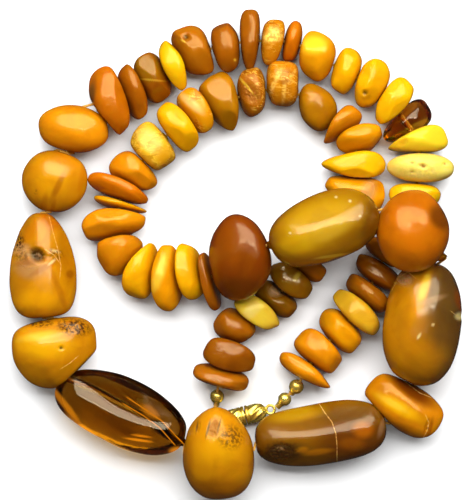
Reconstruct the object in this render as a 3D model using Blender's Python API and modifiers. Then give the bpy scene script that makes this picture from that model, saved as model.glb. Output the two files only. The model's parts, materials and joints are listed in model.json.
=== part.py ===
"""A necklace of raw amber beads on one thread, closed with a brass barrel clasp and laid down in a coil.

Every bead is drilled, and is described by where it lies and how thick, wide and tall it is. Between
two beads the thread passes through a gap plane. A bead fills the space from its first gap plane to
its last, so it turns into a wedge where the strand bends. Lengths are in millimetres here and
become metres when a mesh is made. The coil lies on the plane z = 0.
"""

import math
from dataclasses import dataclass

import bmesh
import bpy
from mathutils import Matrix, Vector, noise

NAME = "amber_bead_necklace"
MM = 0.001

# The middle of the coil's footprint in the coordinates below, which becomes the part's origin
MIDDLE = (0.0, -1.02)

# Clearances, the thread and the drilled holes
GAP = 0.3
THREAD_RADIUS = 0.35
KNOT_SWELL = 2.2
HOLE_RADIUS = 0.8

# The fineness of the bead solids: sides round the thread, and rings from hole to hole
SMALL_SIDES = 10
SMALL_RINGS = 4
NUGGET_SIDES = 12
NUGGET_RINGS = 6
NUGGET_LENGTH = 10.6
SECTION = 2.2

# How uneven a tumbled bead is, how deep its worn resting flat goes, and how far a pair joins
LUMP = 0.07
LUMP_SCALE = 1.2
REST_FLAT = 0.2
WAIST = 0.5

# The closed barrel clasp: two turned halves that screw together, each with a soldered eye
CLASP_CENTRE = (2.6, -41.6)
CLASP_HEADING = 13.0
CLASP_RADIUS = 2.4
CLASP_HALF = 5.6
CLASP_SEAM = 0.15
STUD_RADIUS = 0.85
STUD_LENGTH = 2.4
BORE_RADIUS = 1.2
BORE_DEPTH = 2.8
EYE_RADIUS = 1.05
EYE_WIRE = 0.36
EYE_SIDES = 10
TURNED_STEPS = 12

COLOURS = {
    "butterscotch": (0.80, 0.36, 0.03),
    "orange": (0.78, 0.26, 0.01),
    "yellow": (0.86, 0.52, 0.02),
    "pale": (0.86, 0.68, 0.16),
    "golden": (0.62, 0.34, 0.02),
    "olive": (0.36, 0.21, 0.01),
    "brown": (0.42, 0.15, 0.01),
    "red_brown": (0.32, 0.07, 0.01),
    "cherry": (0.10, 0.02, 0.01),
    "cognac": (0.30, 0.12, 0.01),
}
BRASS = (0.80, 0.62, 0.22)
THREAD_COLOUR = (0.35, 0.22, 0.08)


@dataclass
class Bead:
    """One bead: its centre, the heading of the thread through it in degrees, and its size.

    lap leans the gap plane after it, so that the next bead lies over this one, or under it if less
    than 0. left and right say how blunt the bead ends at its two sides: 2 is round, less is pointed.
    bulge moves its rim along the thread, tilt moves the rim on at its left and back at its right,
    and roll turns the bead about the thread. lift is the height of its centre where it lies on
    other beads, and 0 where it rests on the ground. gap is where the thread leaves it, if that
    isn't on the line to the next bead's centre. turn swings the gap plane after it, in degrees from
    halfway between the two headings.
    """

    name: str
    x: float
    y: float
    heading: float
    thick: float
    wide: float
    tall: float
    colour: str
    lap: float = 0.0
    left: float = 2.4
    right: float = 2.4
    bulge: float = 0.0
    tilt: float = 0.0
    roll: float = 0.0
    lift: float = 0.0
    gap: tuple = None
    turn: float = 0.0


STRAND = [
    Bead("bead_01", -3.5, -31.8, 73, 5.5, 13.5, 11.0, "brown", lap=14),
    Bead("bead_02", -1.5, -26.8, 75, 6.5, 13.2, 11.5, "brown", lap=-16, left=2.2, right=3.0),
    Bead("bead_03", 0.5, -18.2, 62, 8.0, 10.2, 9.6, "brown", lap=18, left=2.6, right=2.0),
    Bead("bead_04", 5.0, -16.0, 47, 5.3, 12.2, 10.0, "pale", lap=-18, left=2.6, right=2.8),
    Bead("bead_05", 10.0, -12.4, 48, 5.0, 11.5, 9.4, "olive", lap=18),
    Bead("bead_06", 14.0, -7.6, 52, 5.5, 12.4, 9.8, "olive", lap=-18, right=2.0),
    Bead("bead_07", 17.6, -3.8, 52, 5.0, 11.0, 8.8, "red_brown", right=2.9),
    Bead("bead_08", 21.2, 0.5, 54, 5.0, 9.0, 8.2, "brown"),
    Bead("bead_09", 24.2, 4.8, 56, 5.0, 9.0, 8.0, "orange"),
    Bead("bead_10", 27.2, 9.2, 63, 5.0, 9.4, 8.2, "brown"),
    Bead("bead_11", 30.0, 14.4, 78, 7.5, 15.0, 10.2, "orange", lap=16, left=2.0, right=3.0, tilt=0.35),
    Bead("bead_12", 29.8, 21.7, 93, 6.0, 16.2, 10.6, "yellow", lap=-18, left=1.8, right=2.6, tilt=0.3),
    Bead("bead_13", 31.2, 28.1, 104, 7.5, 11.4, 10.4, "orange", lap=-16, left=2.6, right=1.7),
    Bead("bead_14", 26.4, 31.4, 136, 4.5, 13.0, 10.2, "orange", lap=-18, left=1.9, right=2.1, roll=-18),
    Bead("bead_15", 20.8, 36.0, 160, 10.3, 10.2, 9.6, "golden", left=1.9, right=1.9),
    Bead("bead_16", 12.2, 41.3, 178, 8.0, 11.3, 10.4, "butterscotch", left=2.8, right=2.3, roll=-20),
    Bead("bead_17", 4.2, 39.2, 190, 6.5, 11.2, 10.6, "golden", lap=10),
    Bead("bead_18", -3.4, 37.0, 198, 8.2, 14.6, 11.0, "olive", lap=16, left=1.35, right=3.0),
    Bead("bead_19", -9.7, 35.0, 218, 6.5, 11.8, 10.6, "butterscotch", lap=14, left=2.9, right=2.4),
    Bead("bead_20", -14.2, 31.0, 218, 6.2, 13.4, 11.0, "yellow", left=2.7, right=2.5),
    Bead("bead_21", -20.6, 25.9, 217, 7.4, 13.2, 11.0, "pale", left=2.9, right=2.5),
    Bead("bead_22", -25.4, 19.3, 237, 6.8, 12.7, 11.0, "orange", lap=16, left=2.3, right=2.7),
    Bead("bead_23", -29.4, 15.1, 249, 5.6, 15.6, 11.4, "orange", lap=8, right=1.9),
    Bead("bead_24", -28.6, 11.5, 256, 2.6, 13.6, 8.6, "golden", lap=10),
    Bead("bead_25", -30.4, 7.1, 262, 7.4, 15.8, 11.4, "butterscotch", lap=18, left=2.7, right=1.9, tilt=-0.3),
    Bead("bead_26", -28.3, -1.1, 302, 8.0, 12.0, 11.0, "orange", lap=20, right=2.5),
    Bead("bead_27", -23.8, -4.9, 342, 6.5, 14.4, 11.2, "yellow", lap=22),
    Bead("bead_28", -17.0, -7.0, 4, 6.6, 16.2, 11.6, "butterscotch", lap=22, right=2.0),
    Bead("bead_29", -10.8, -5.4, 10, 6.4, 13.8, 11.6, "yellow", lap=18, left=2.8, right=2.6),
    Bead("bead_30", -6.9, -7.6, 13, 3.5, 15.4, 10.6, "butterscotch", lap=14),
    Bead("nugget_red_brown", 1.0, -1.7, 20, 16.0, 20.2, 15.2, "red_brown", 0, 2.0, 2.3, lift=11.9),
    Bead("nugget_olive", 20.8, 5.4, 16, 27.0, 18.2, 16.6, "olive", 0, 2.4, 2.1, tilt=0.35, lift=17.4, turn=-8),
    Bead("nugget_orange", 44.6, 4.0, 330, 18.8, 20.0, 16.4, "orange", 0, 2.2, 2.1, lift=17.4, turn=10),
    Bead("nugget_two_tone", 46.98, -19.0, 264, 29.2, 22.2, 18.8, "golden", 0, 2.2, 2.3, turn=-4),
    Bead("nugget_banded", 41.8, -38.6, 234, 12.4, 21.6, 12.0, "yellow", 0, 2.4, 2.3, turn=11),
    Bead("nugget_khaki", 21.0, -45.6, 187, 32.0, 14.6, 13.4, "olive", 0, 2.7, 3.2, tilt=-0.1),
    Bead("nugget_butterscotch", -4.2, -50.4, 184, 18.0, 24.0, 16.2, "butterscotch", 0, 2.9, 1.9,
         tilt=0.15, roll=-27, lift=10.2),
    Bead("nugget_clear", -27.8, -39.8, 155, 35.6, 17.4, 15.0, "cognac", 0, 2.2, 2.3, gap=(-43.2, -32.2)),
    Bead("nugget_heart", -44.4, -24.8, 106, 16.2, 22.2, 14.4, "golden", 0, 2.4, 2.3, 0.15, 0.15),
    Bead("nugget_tall", -48.2, -3.9, 92, 26.6, 16.4, 14.0, "golden", 0, 2.7, 2.2, -0.25, 0.0),
    Bead("nugget_scratched", -45.1, 17.6, 80, 16.6, 15.6, 13.0, "golden", 0, 2.3, 2.3),
    Bead("nugget_smooth", -40.3, 29.5, 62, 12.4, 14.2, 12.2, "orange", 0, 2.3, 2.3, tilt=-0.5, gap=(-34.2, 34.0)),
    Bead("bead_31", -30.6, 37.6, 20, 7.0, 16.6, 12.0, "orange", lap=-20, left=2.1, right=2.6, tilt=0.5),
    Bead("bead_32", -25.6, 39.4, 28, 7.0, 13.2, 11.0, "brown", lap=-18, right=2.2, tilt=0.3),
    Bead("bead_33", -21.0, 43.0, 30, 8.6, 12.4, 10.8, "brown", lap=16, left=2.6, right=2.4),
    Bead("bead_34", -15.3, 46.3, 24, 5.0, 12.6, 10.8, "yellow", lap=-18, left=2.4, right=2.3),
    Bead("bead_35", -10.4, 49.8, 22, 9.4, 13.0, 11.2, "brown", left=2.9, right=2.2, tilt=-0.45),
    Bead("bead_36", -2.5, 50.9, 9, 7.2, 12.4, 11.0, "brown", left=2.0, right=2.4),
    Bead("bead_37", 4.0, 52.8, 0, 5.3, 14.8, 11.0, "brown", left=2.6, right=2.0),
    Bead("bead_38", 9.1, 52.0, 350, 6.0, 11.4, 10.0, "golden", lap=-6, left=2.6, right=1.8, roll=22),
    Bead("bead_39", 14.2, 52.6, 347, 3.8, 9.8, 8.6, "orange", lap=8, left=2.0, right=2.6),
    Bead("bead_40", 21.0, 48.3, 340, 8.0, 11.5, 11.0, "yellow", lap=4, left=2.4, right=2.0),
    Bead("bead_41", 27.5, 44.9, 338, 6.2, 11.2, 10.4, "butterscotch", lap=6, left=2.4, right=2.0),
    Bead("bead_42", 34.4, 41.4, 332, 7.0, 12.0, 10.6, "yellow", lap=6, left=2.2, right=2.0, roll=18),
    Bead("bead_43", 39.7, 37.1, 320, 6.2, 12.6, 10.6, "yellow", lap=-12, left=2.9, right=2.2),
    Bead("bead_44", 43.0, 31.9, 314, 6.5, 14.0, 10.8, "cherry", lap=14, left=2.9, right=2.0),
    Bead("bead_45", 45.6, 27.2, 284, 5.4, 15.2, 10.6, "pale", lap=6, left=2.4, right=2.0),
    Bead("bead_46", 46.4, 20.5, 256, 7.2, 16.4, 10.6, "pale", lap=-6, left=1.8, right=1.8),
    Bead("bead_47", 45.0, 13.6, 276, 6.5, 12.4, 9.0, "yellow", left=2.4, right=2.4),
    Bead("bead_48", 43.6, 8.2, 250, 5.0, 9.0, 8.0, "orange"),
    Bead("bead_49", 41.0, 3.8, 240, 5.0, 9.0, 8.0, "brown"),
    Bead("bead_50", 37.8, -0.5, 238, 5.0, 10.8, 8.6, "olive"),
    Bead("bead_51", 35.9, -5.5, 234, 5.6, 12.6, 9.0, "red_brown", lap=4),
    Bead("bead_52", 33.0, -11.0, 229, 5.0, 12.4, 11.0, "brown", lap=14, left=2.6, right=2.8),
    Bead("bead_53", 30.6, -15.4, 229, 5.3, 14.4, 11.0, "pale", lap=-10, left=2.4, right=2.5),
    Bead("bead_54", 26.2, -20.3, 222, 6.7, 12.4, 11.0, "butterscotch", lap=8, left=2.7, right=2.5),
    Bead("bead_55", 21.2, -25.3, 224, 7.0, 13.2, 11.0, "butterscotch", lap=8, left=2.6, right=2.6),
    Bead("bead_56", 17.8, -30.3, 241, 4.5, 14.8, 10.4, "orange", left=1.9, right=2.1),
]

# Neighbours that lie face to face and are one solid here: the first bead of each, and how many
RUNS = {
    "bead_05": 2,
    "bead_08": 3,
    "bead_14": 2,
    "bead_16": 2,
    "bead_23": 2,
    "bead_29": 2,
    "bead_31": 2,
    "bead_36": 2,
    "bead_38": 2,
    "bead_48": 3,
    "bead_51": 2,
    "bead_55": 2,
}

# The brass balls beside the clasp: centre and diameter
BALL_LEFT = Vector((-4.5, -36.8, 3.6)), 3.5
BALL_RIGHT_A = Vector((15.4, -34.3, 3.9)), 3.7
BALL_RIGHT_B = Vector((12.5, -37.5, 2.9)), 3.3
BALL_SIDES = 10
BALL_RINGS = 4


@dataclass
class Plane:
    """A gap plane: its point on the thread, and its axes along the thread, to the left and up."""

    point: Vector
    along: Vector
    left: Vector
    up: Vector

    def moved(self, distance):
        return Plane(self.point + self.along * distance, self.along, self.left, self.up)

    def at(self, across, up):
        return self.point + self.left * across + self.up * up


def plane_at(point, heading, lean):
    turn = math.radians(heading)
    tilt = math.radians(lean)
    level = math.cos(tilt)
    along = Vector((math.cos(turn) * level, math.sin(turn) * level, math.sin(tilt)))
    left = Vector((-math.sin(turn), math.cos(turn), 0))
    return Plane(point, along, left, along.cross(left))


def centre_of(bead):
    return Vector((bead.x, bead.y, bead.lift or bead.tall / 2))


def middle_heading(first, second):
    """Halfway between two headings, the short way round."""
    return first + ((second - first + 180) % 360 - 180) / 2


def gap_planes(strand):
    """The planes before, between and after the beads, one more than there are beads."""
    first, last = strand[0], strand[-1]
    planes = [plane_at(centre_of(first), first.heading, 0).moved(-first.thick / 2)]
    for bead, after in zip(strand, strand[1:]):
        share = bead.thick / (bead.thick + after.thick)
        point = centre_of(bead).lerp(centre_of(after), share)
        if bead.gap:
            point.xy = bead.gap
        heading = middle_heading(bead.heading, after.heading) + bead.turn
        planes.append(plane_at(point, heading, bead.lap))
    planes.append(plane_at(centre_of(last), last.heading, 0).moved(last.thick / 2))
    return planes


def eased(value, power):
    return math.copysign(abs(value) ** power, value)


def body_point(bead, number, start, end, offset, slope, turn, fill):
    """A point of a bead's outside. slope runs from hole to hole, turn goes round the thread.

    fill makes the widest ring and the widest corner of a coarse body reach the bead's full size.
    """
    side = (1 + math.cos(turn)) / 2
    blunt = bead.right + (bead.left - bead.right) * side
    travel = eased(math.sin(slope), 2 / blunt)
    swell = (math.cos(slope) * fill[1]) ** (2 / blunt)
    travel += (bead.bulge + bead.tilt * math.cos(turn)) * (1 - travel * travel)
    across = bead.wide / 2 * eased(math.cos(turn) * fill[0], 2 / SECTION)
    up = bead.tall / 2 * eased(math.sin(turn), 2 / SECTION)
    across, up = Matrix.Rotation(math.radians(bead.roll), 2) @ Vector((across, up))
    direction = Vector((math.sin(slope), math.cos(turn), math.sin(turn))) * LUMP_SCALE
    uneven = 1 + LUMP * noise.noise(direction + Vector((number, number * 0.37, 0)))
    across = swell * (across * uneven + offset[0])
    up = swell * (up * uneven + offset[1])
    return start.at(across, up).lerp(end.at(across, up), (travel + 1) / 2)


def turns_of(sides):
    return [2 * math.pi * (step + 0.5) / sides for step in range(sides)]


def slopes_of(rings):
    return [math.pi * ((step + 1) / (rings + 1) - 0.5) for step in range(rings)]


def body_rings(bead, number, start, end, sides, rings):
    """The rings between a bead's two holes. A bead that rests on the ground is let down onto it."""
    middle = (start.point + end.point) / 2
    shift = centre_of(bead) - middle
    offset = [shift.dot((start.left + end.left).normalized()), shift.z]
    slopes, turns = slopes_of(rings), turns_of(sides)
    fill = [1 / max(map(math.cos, turns)), 1 / max(map(math.cos, slopes))]

    def all_rings():
        return [
            [body_point(bead, number, start, end, offset, slope, turn, fill) for turn in turns]
            for slope in slopes
        ]

    if bead.lift:
        return all_rings()
    for _ in range(3):
        lowest = min(point.z for ring in all_rings() for point in ring)
        offset[1] -= lowest + REST_FLAT
    made = all_rings()
    for ring in made:
        for point in ring:
            point.z = max(point.z, 0)
    return made


def hole_ring(plane, sides):
    return [
        plane.at(HOLE_RADIUS * math.cos(turn), HOLE_RADIUS * math.sin(turn))
        for turn in turns_of(sides)
    ]


def waist_ring(plane, before, after, sides):
    """Where two beads of a run meet, round their shared gap plane."""
    wide = WAIST / 2 * min(before.wide, after.wide)
    tall = WAIST / 2 * min(before.tall, after.tall)
    return [plane.at(wide * math.cos(turn), tall * math.sin(turn)) for turn in turns_of(sides)]


def closed_loft(name, rings):
    """A mesh through rings of equal length, the last joined to the first: a body with a hole."""
    bm = bmesh.new()
    loops = [[bm.verts.new(point * MM) for point in ring] for ring in rings]
    for loop, following in zip(loops, loops[1:] + loops[:1]):
        for step in range(len(loop)):
            after = (step + 1) % len(loop)
            bm.faces.new((loop[step], loop[after], following[after], following[step]))
    bmesh.ops.recalc_face_normals(bm, faces=bm.faces)
    mesh = bpy.data.meshes.new(name)
    bm.to_mesh(mesh)
    bm.free()
    mesh.shade_smooth()
    return mesh


def principled(name, colour, roughness, metallic):
    material = bpy.data.materials.new(name)
    material.use_nodes = True
    shader = material.node_tree.nodes["Principled BSDF"]
    shader.inputs["Base Color"].default_value = (*colour, 1)
    shader.inputs["Roughness"].default_value = roughness
    shader.inputs["Metallic"].default_value = metallic
    return material


def add_object(name, data, collection, colour, roughness=0.25, metallic=0.0):
    obj = bpy.data.objects.new(name, data)
    obj.data.materials.append(principled(name, colour, roughness, metallic))
    collection.objects.link(obj)
    return obj


def run_name(run):
    if len(run) == 1:
        return run[0].name
    return f"beads_{run[0].name[-2:]}_{run[-1].name[-2:]}"


def add_run(run, first, planes, collection):
    """One bead, or a run of neighbours that meet at a waist, drilled from end to end."""
    nugget = run[0].thick > NUGGET_LENGTH
    sides = NUGGET_SIDES if nugget else SMALL_SIDES
    rings = NUGGET_RINGS if nugget else SMALL_RINGS
    planes = planes[first:first + len(run) + 1]
    planes[0] = planes[0].moved(GAP / 2)
    planes[-1] = planes[-1].moved(-GAP / 2)
    outside = [hole_ring(planes[0], sides)]
    for step, bead in enumerate(run):
        start, end = planes[step], planes[step + 1]
        if step:
            outside.append(waist_ring(start, run[step - 1], bead, sides))
        outside += body_rings(bead, first + step, start, end, sides, rings)
    outside.append(hole_ring(planes[-1], sides))
    drilled = [hole_ring(plane, sides) for plane in reversed(planes[1:-1])]
    name = run_name(run)
    add_object(name, closed_loft(name, outside + drilled), collection, COLOURS[run[0].colour])


def add_beads(planes, collection):
    first = 0
    while first < len(STRAND):
        length = RUNS.get(STRAND[first].name, 1)
        add_run(STRAND[first:first + length], first, planes, collection)
        first += length


def ball_plane(ball, toward):
    """The plane across a ball's middle, at right angles to the hole that looks at a point."""
    along = (toward - ball[0]).normalized()
    left = along.orthogonal().normalized()
    return Plane(ball[0], along, left, along.cross(left))


def through(ball, toward):
    """The thread's points at the two mouths of a ball's hole."""
    plane = ball_plane(ball, toward)
    return [(plane.moved(side * ball[1] / 2).point, 1) for side in (-1, 1)]


def add_ball(name, ball, toward, collection):
    """A drilled brass ball. toward is the point that its hole looks at."""
    plane = ball_plane(ball, toward)
    radius = ball[1] / 2
    edge = math.acos(HOLE_RADIUS / radius)
    rings = []
    for step in range(BALL_RINGS + 2):
        slope = edge * (2 * step / (BALL_RINGS + 1) - 1)
        level = plane.moved(radius * math.sin(slope))
        out = radius * math.cos(slope)
        rings.append([
            level.at(out * math.cos(turn), out * math.sin(turn)) for turn in turns_of(BALL_SIDES)
        ])
    add_object(name, closed_loft(name, rings), collection, BRASS, 0.15, 1.0)


def clasp_profile(inner):
    """A clasp half's outline above its seam, from the axis at the seam side, in radius and height."""
    radius, length = CLASP_RADIUS, CLASP_HALF
    return inner + [
        (radius, CLASP_SEAM),
        (radius, 0.8),
        (radius - 0.22, 1.1),
        (radius - 0.12, length * 0.5),
        (radius - 0.3, length * 0.72),
        (radius * 0.62, length * 0.9),
        (radius * 0.3, length),
        (0, length),
    ]


def turned_half(name, profile, frame):
    """The profile turned round the clasp's axis."""
    mesh = bpy.data.meshes.new(name)
    points = [(radius * MM, 0, height * MM) for radius, height in reversed(profile)]
    mesh.from_pydata(points, [(step, step + 1) for step in range(len(points) - 1)], [])
    obj = bpy.data.objects.new(name, mesh)
    obj.matrix_world = frame
    screw = obj.modifiers.new("turned", "SCREW")
    screw.steps = TURNED_STEPS
    screw.render_steps = TURNED_STEPS
    screw.use_merge_vertices = True
    screw.merge_threshold = 0.00001
    return obj


def eye_cutout(name, frame, cutters):
    """The ring soldered to a clasp half's end, as the tool that is joined to it."""
    bpy.ops.mesh.primitive_torus_add(
        major_segments=EYE_SIDES,
        minor_segments=5,
        major_radius=EYE_RADIUS * MM,
        minor_radius=EYE_WIRE * MM,
    )
    eye = bpy.context.object
    eye.name = name
    reach = (CLASP_HALF + EYE_RADIUS - EYE_WIRE / 2) * MM
    eye.matrix_world = frame @ Matrix.Translation((0, 0, reach)) @ Matrix.Rotation(math.pi / 2, 4, "X")
    for holder in list(eye.users_collection):
        holder.objects.unlink(eye)
    cutters.objects.link(eye)
    eye.hide_render = True
    eye.display_type = "WIRE"
    return eye


def add_clasp(collection, cutters):
    """The two halves, screwed shut: the stud of one stands in the bore of the other."""
    place = Matrix.Translation(Vector((*CLASP_CENTRE, CLASP_RADIUS)) * MM)
    heading = Matrix.Rotation(math.radians(CLASP_HEADING), 4, "Z")
    stud = [(0, -STUD_LENGTH), (STUD_RADIUS, -STUD_LENGTH), (STUD_RADIUS, CLASP_SEAM)]
    bore = [(0, BORE_DEPTH), (BORE_RADIUS, BORE_DEPTH), (BORE_RADIUS, CLASP_SEAM)]
    for name, inner, side in (("clasp_stud_half", stud, 1), ("clasp_bore_half", bore, -1)):
        frame = place @ heading @ Matrix.Rotation(side * math.pi / 2, 4, "Y")
        half = turned_half(name, clasp_profile(inner), frame)
        half.data.materials.append(principled(name, BRASS, 0.15, 1.0))
        collection.objects.link(half)
        join = half.modifiers.new("eye", "BOOLEAN")
        join.operation = "UNION"
        join.object = eye_cutout(f"{name}_eye", frame, cutters)


def thread_route(planes):
    """The thread's points from eye to eye, and how much it swells at each: it has a knot at each end."""
    heading = math.radians(CLASP_HEADING)
    reach = CLASP_HALF + 2 * EYE_RADIUS + EYE_WIRE + GAP
    along = Vector((math.cos(heading), math.sin(heading), 0)) * reach
    centre = Vector((*CLASP_CENTRE, CLASP_RADIUS))
    from_left = centre - along + Vector((0.2, 1.4, 0))
    from_right = centre + along + Vector((0.3, 0.9, 0))
    knot_left = from_left.lerp(BALL_LEFT[0], 0.5)
    route = [(from_left, 1), (knot_left, KNOT_SWELL)]
    route += through(BALL_LEFT, planes[0].point)
    route += [(plane.point, 1) for plane in planes]
    route += through(BALL_RIGHT_A, planes[-1].point)[::-1]
    route += through(BALL_RIGHT_B, BALL_RIGHT_A[0])[::-1]
    route += [(from_right, 1)]
    return route


def add_thread(planes, collection):
    route = thread_route(planes)
    curve = bpy.data.curves.new("thread", "CURVE")
    curve.dimensions = "3D"
    curve.bevel_depth = THREAD_RADIUS * MM
    curve.bevel_resolution = 0
    curve.use_fill_caps = True
    spline = curve.splines.new("POLY")
    spline.points.add(len(route) - 1)
    for point, (place, swell) in zip(spline.points, route):
        point.co = (*(place * MM), 1)
        point.radius = swell
    add_object("thread", curve, collection, THREAD_COLOUR, 0.8)


def new_collection(name):
    collection = bpy.data.collections.new(name)
    bpy.context.scene.collection.children.link(collection)
    return collection


def build():
    for obj in list(bpy.data.objects):
        bpy.data.objects.remove(obj, do_unlink=True)
    collection = new_collection(NAME)
    cutters = new_collection(f"{NAME}_cutters")
    planes = gap_planes(STRAND)
    add_beads(planes, collection)
    add_ball("ball_left", BALL_LEFT, planes[0].point, collection)
    add_ball("ball_right_a", BALL_RIGHT_A, planes[-1].point, collection)
    add_ball("ball_right_b", BALL_RIGHT_B, BALL_RIGHT_A[0], collection)
    add_clasp(collection, cutters)
    add_thread(planes, collection)
    for obj in [*collection.objects, *cutters.objects]:
        obj.location -= Vector((*MIDDLE, 0)) * MM


build()
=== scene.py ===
"""The looks of an amber bead necklace: tumbled beads on one thread, brass balls and a barrel clasp.

Each bead is shaped here again at a finer size, in the place of its plain solid: drilled, rounded,
ground flat in places, pitted and marked. Lengths in the tables are millimetres. Places on a bead
are given in the picture's frame, x to the right and y down, as they are seen from above.
"""

import json
import math

import bmesh
import bpy
import numpy as np
from dataclasses import dataclass, replace
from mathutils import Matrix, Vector, noise


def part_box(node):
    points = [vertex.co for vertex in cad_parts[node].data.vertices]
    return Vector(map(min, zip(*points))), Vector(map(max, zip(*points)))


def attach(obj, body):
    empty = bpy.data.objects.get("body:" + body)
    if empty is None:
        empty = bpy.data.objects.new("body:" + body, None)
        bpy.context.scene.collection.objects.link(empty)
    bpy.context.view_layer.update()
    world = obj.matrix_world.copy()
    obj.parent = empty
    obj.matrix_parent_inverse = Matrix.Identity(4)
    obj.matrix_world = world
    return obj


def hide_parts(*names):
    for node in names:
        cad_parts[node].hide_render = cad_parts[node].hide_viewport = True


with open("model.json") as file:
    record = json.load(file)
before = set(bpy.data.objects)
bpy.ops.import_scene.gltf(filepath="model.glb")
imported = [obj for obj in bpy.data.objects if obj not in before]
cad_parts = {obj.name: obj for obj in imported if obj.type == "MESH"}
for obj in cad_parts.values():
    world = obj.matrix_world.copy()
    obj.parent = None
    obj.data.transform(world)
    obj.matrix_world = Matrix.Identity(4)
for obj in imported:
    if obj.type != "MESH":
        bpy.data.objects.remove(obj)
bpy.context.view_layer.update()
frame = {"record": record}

MM = 0.001

# The view from straight above: the picture's size, its scale at one height, and the camera
FRAME_WIDTH, FRAME_HEIGHT = 470, 500
PIXELS_PER_MM = 4.0
SCALE_HEIGHT = 7.0
CAMERA_HEIGHT = 700.0
MIDDLE = (0.0, -1.02)

# Clearances and holes, as on the solids
GAP = 0.3
HOLE_RADIUS = 0.8
LUMP = 0.07
LUMP_SCALE = 1.2
REST_FLAT = 0.2
SECTION = 2.0
LAST_SLOPE = 84.0

# The brass balls beside the clasp: centre, diameter and the length of each one's collar
BALLS = {
    "ball_left": ((-4.5, -36.8, 3.6), 3.5, 1.2),
    "ball_right_a": ((15.4, -34.3, 3.9), 3.7, 0.8),
    "ball_right_b": ((12.5, -37.5, 2.9), 3.3, 1.3),
}
BALL_HOLE = 0.45
COLLAR = 0.78
BALL_SIDES, BALL_STEPS = 64, 32

# The barrel clasp, as on the solids, and the twisted flutes of its belly
CLASP_CENTRE = (2.6, -41.6)
CLASP_HEADING = 13.0
CLASP_RADIUS = 2.4
CLASP_HALF = 5.6
CLASP_SEAM = 0.15
STUD_RADIUS, STUD_LENGTH = 0.85, 2.4
BORE_RADIUS, BORE_DEPTH = 1.2, 2.8
EYE_RADIUS, EYE_WIRE = 1.05, 0.36
CLASP_SIDES = 120
FLUTES, FLUTE_TWIST, FLUTE_DEPTH = 9, 0.28, 0.3
KNOT_SWELL = 2.2

# The studio: each light's bearing, distance, size, radiance, and whether it shows in reflections
LIGHTS = [
    ("softbox", (84, 52), 0.75, (1.15, 0.70), 6.0, True),
    ("softbox_near_edge", (84, 77), 0.76, (1.0, 0.035), 14.0, True),
    ("softbox_far_edge", (86, 24), 0.76, (1.0, 0.035), 8.0, True),
    ("ceiling", (90, 89), 1.6, (2.4, 2.4), 0.3, False),
    ("fill_front", (-90, 22), 1.2, (1.4, 0.7), 0.4, False),
    ("fill_left", (180, 22), 1.2, (1.4, 0.7), 0.4, False),
    ("fill_right", (0, 22), 1.2, (1.4, 0.7), 0.4, False),
]
SKY = 0.04
FLOOR_SIZE, FLOOR_DROP = 3.0, 0.05

# The fineness of the beads, and the seed of everything irregular
SEED = 40
BEAD_SIDES, BEAD_RINGS = 104, 60
NUGGET_SIDES, NUGGET_RINGS = 230, 150
BEAD_FLATS, NUGGET_FLATS = 7, 3
FLAT_DEPTHS, FLAT_SOFTNESS, FLAT_LEAN = (0.01, 0.055), (0.15, 0.5), 0.55
FULLER = 1.18
WAVE_HEIGHT = 0.026
BEAD_WAVE, NUGGET_WAVE = 3.2, 6.0
SMOOTH = {"nugget_red_brown", "nugget_olive", "nugget_orange", "nugget_butterscotch", "nugget_clear", "nugget_khaki",
          "nugget_two_tone", "nugget_smooth", "nugget_scratched", "bead_15", "bead_46"}

# The warm tints of a reflection on opaque and on misty amber
OPAQUE_SHINE = (1.0, 0.77, 0.34)
MISTY_SHINE = (1.0, 0.80, 0.48)

# Each amber's main tone and its deeper one, as a screen shows them under the full light. The deeper one is the amber's
# colour on its shaded side: it tints the clouds, and towards the holes it is painted shade.
FULL_LIGHT = 1.36
TONES = {
    "cream": ((250, 225, 150), (240, 200, 100)),
    "ivory": ((252, 225, 100), (238, 196, 65)),
    "straw": ((250, 212, 60), (215, 155, 25)),
    "lemon": ((252, 214, 40), (244, 188, 15)),
    "buff": ((244, 186, 36), (180, 118, 12)),
    "yolk": ((252, 192, 8), (225, 148, 6)),
    "saffron": ((251, 180, 6), (205, 126, 5)),
    "honey": ((244, 162, 6), (190, 108, 5)),
    "orange": ((236, 148, 8), (178, 98, 5)),
    "apricot": ((220, 136, 8), (160, 86, 5)),
    "golden": ((222, 146, 8), (158, 92, 7)),
    "tangerine": ((216, 118, 5), (155, 75, 3)),
    "sienna": ((204, 110, 5), (150, 73, 3)),
    "bronze": ((170, 108, 8), (132, 78, 6)),
    "olive_gold": ((196, 128, 6), (125, 70, 5)),
    "bright_olive": ((222, 170, 12), (180, 122, 8)),
    "olive": ((164, 110, 8), (128, 72, 4)),
    "khaki": ((148, 94, 8), (100, 56, 6)),
    "nutmeg": ((184, 106, 8), (142, 74, 5)),
    "rust": ((172, 94, 6), (124, 58, 4)),
    "umber": ((160, 88, 5), (128, 62, 3)),
    "red_brown": ((142, 64, 4), (108, 46, 2)),
    "chestnut": ((112, 54, 4), (88, 40, 2)),
    "moss": ((120, 72, 10), (88, 48, 6)),
    "mahogany": ((112, 58, 10), (76, 36, 6)),
    "smoke": ((112, 76, 26), (80, 50, 18)),
    "ash": ((216, 168, 116), (160, 112, 68)),
    # A blackish brown, laid only over the pits and hollows of DENTS, where it paints them darker.
    "soot": ((62, 38, 14), (40, 24, 10)),
    "cognac": ((255, 236, 200), (240, 205, 150)),
    "cherry": ((235, 190, 150), (200, 140, 90)),
}

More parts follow.
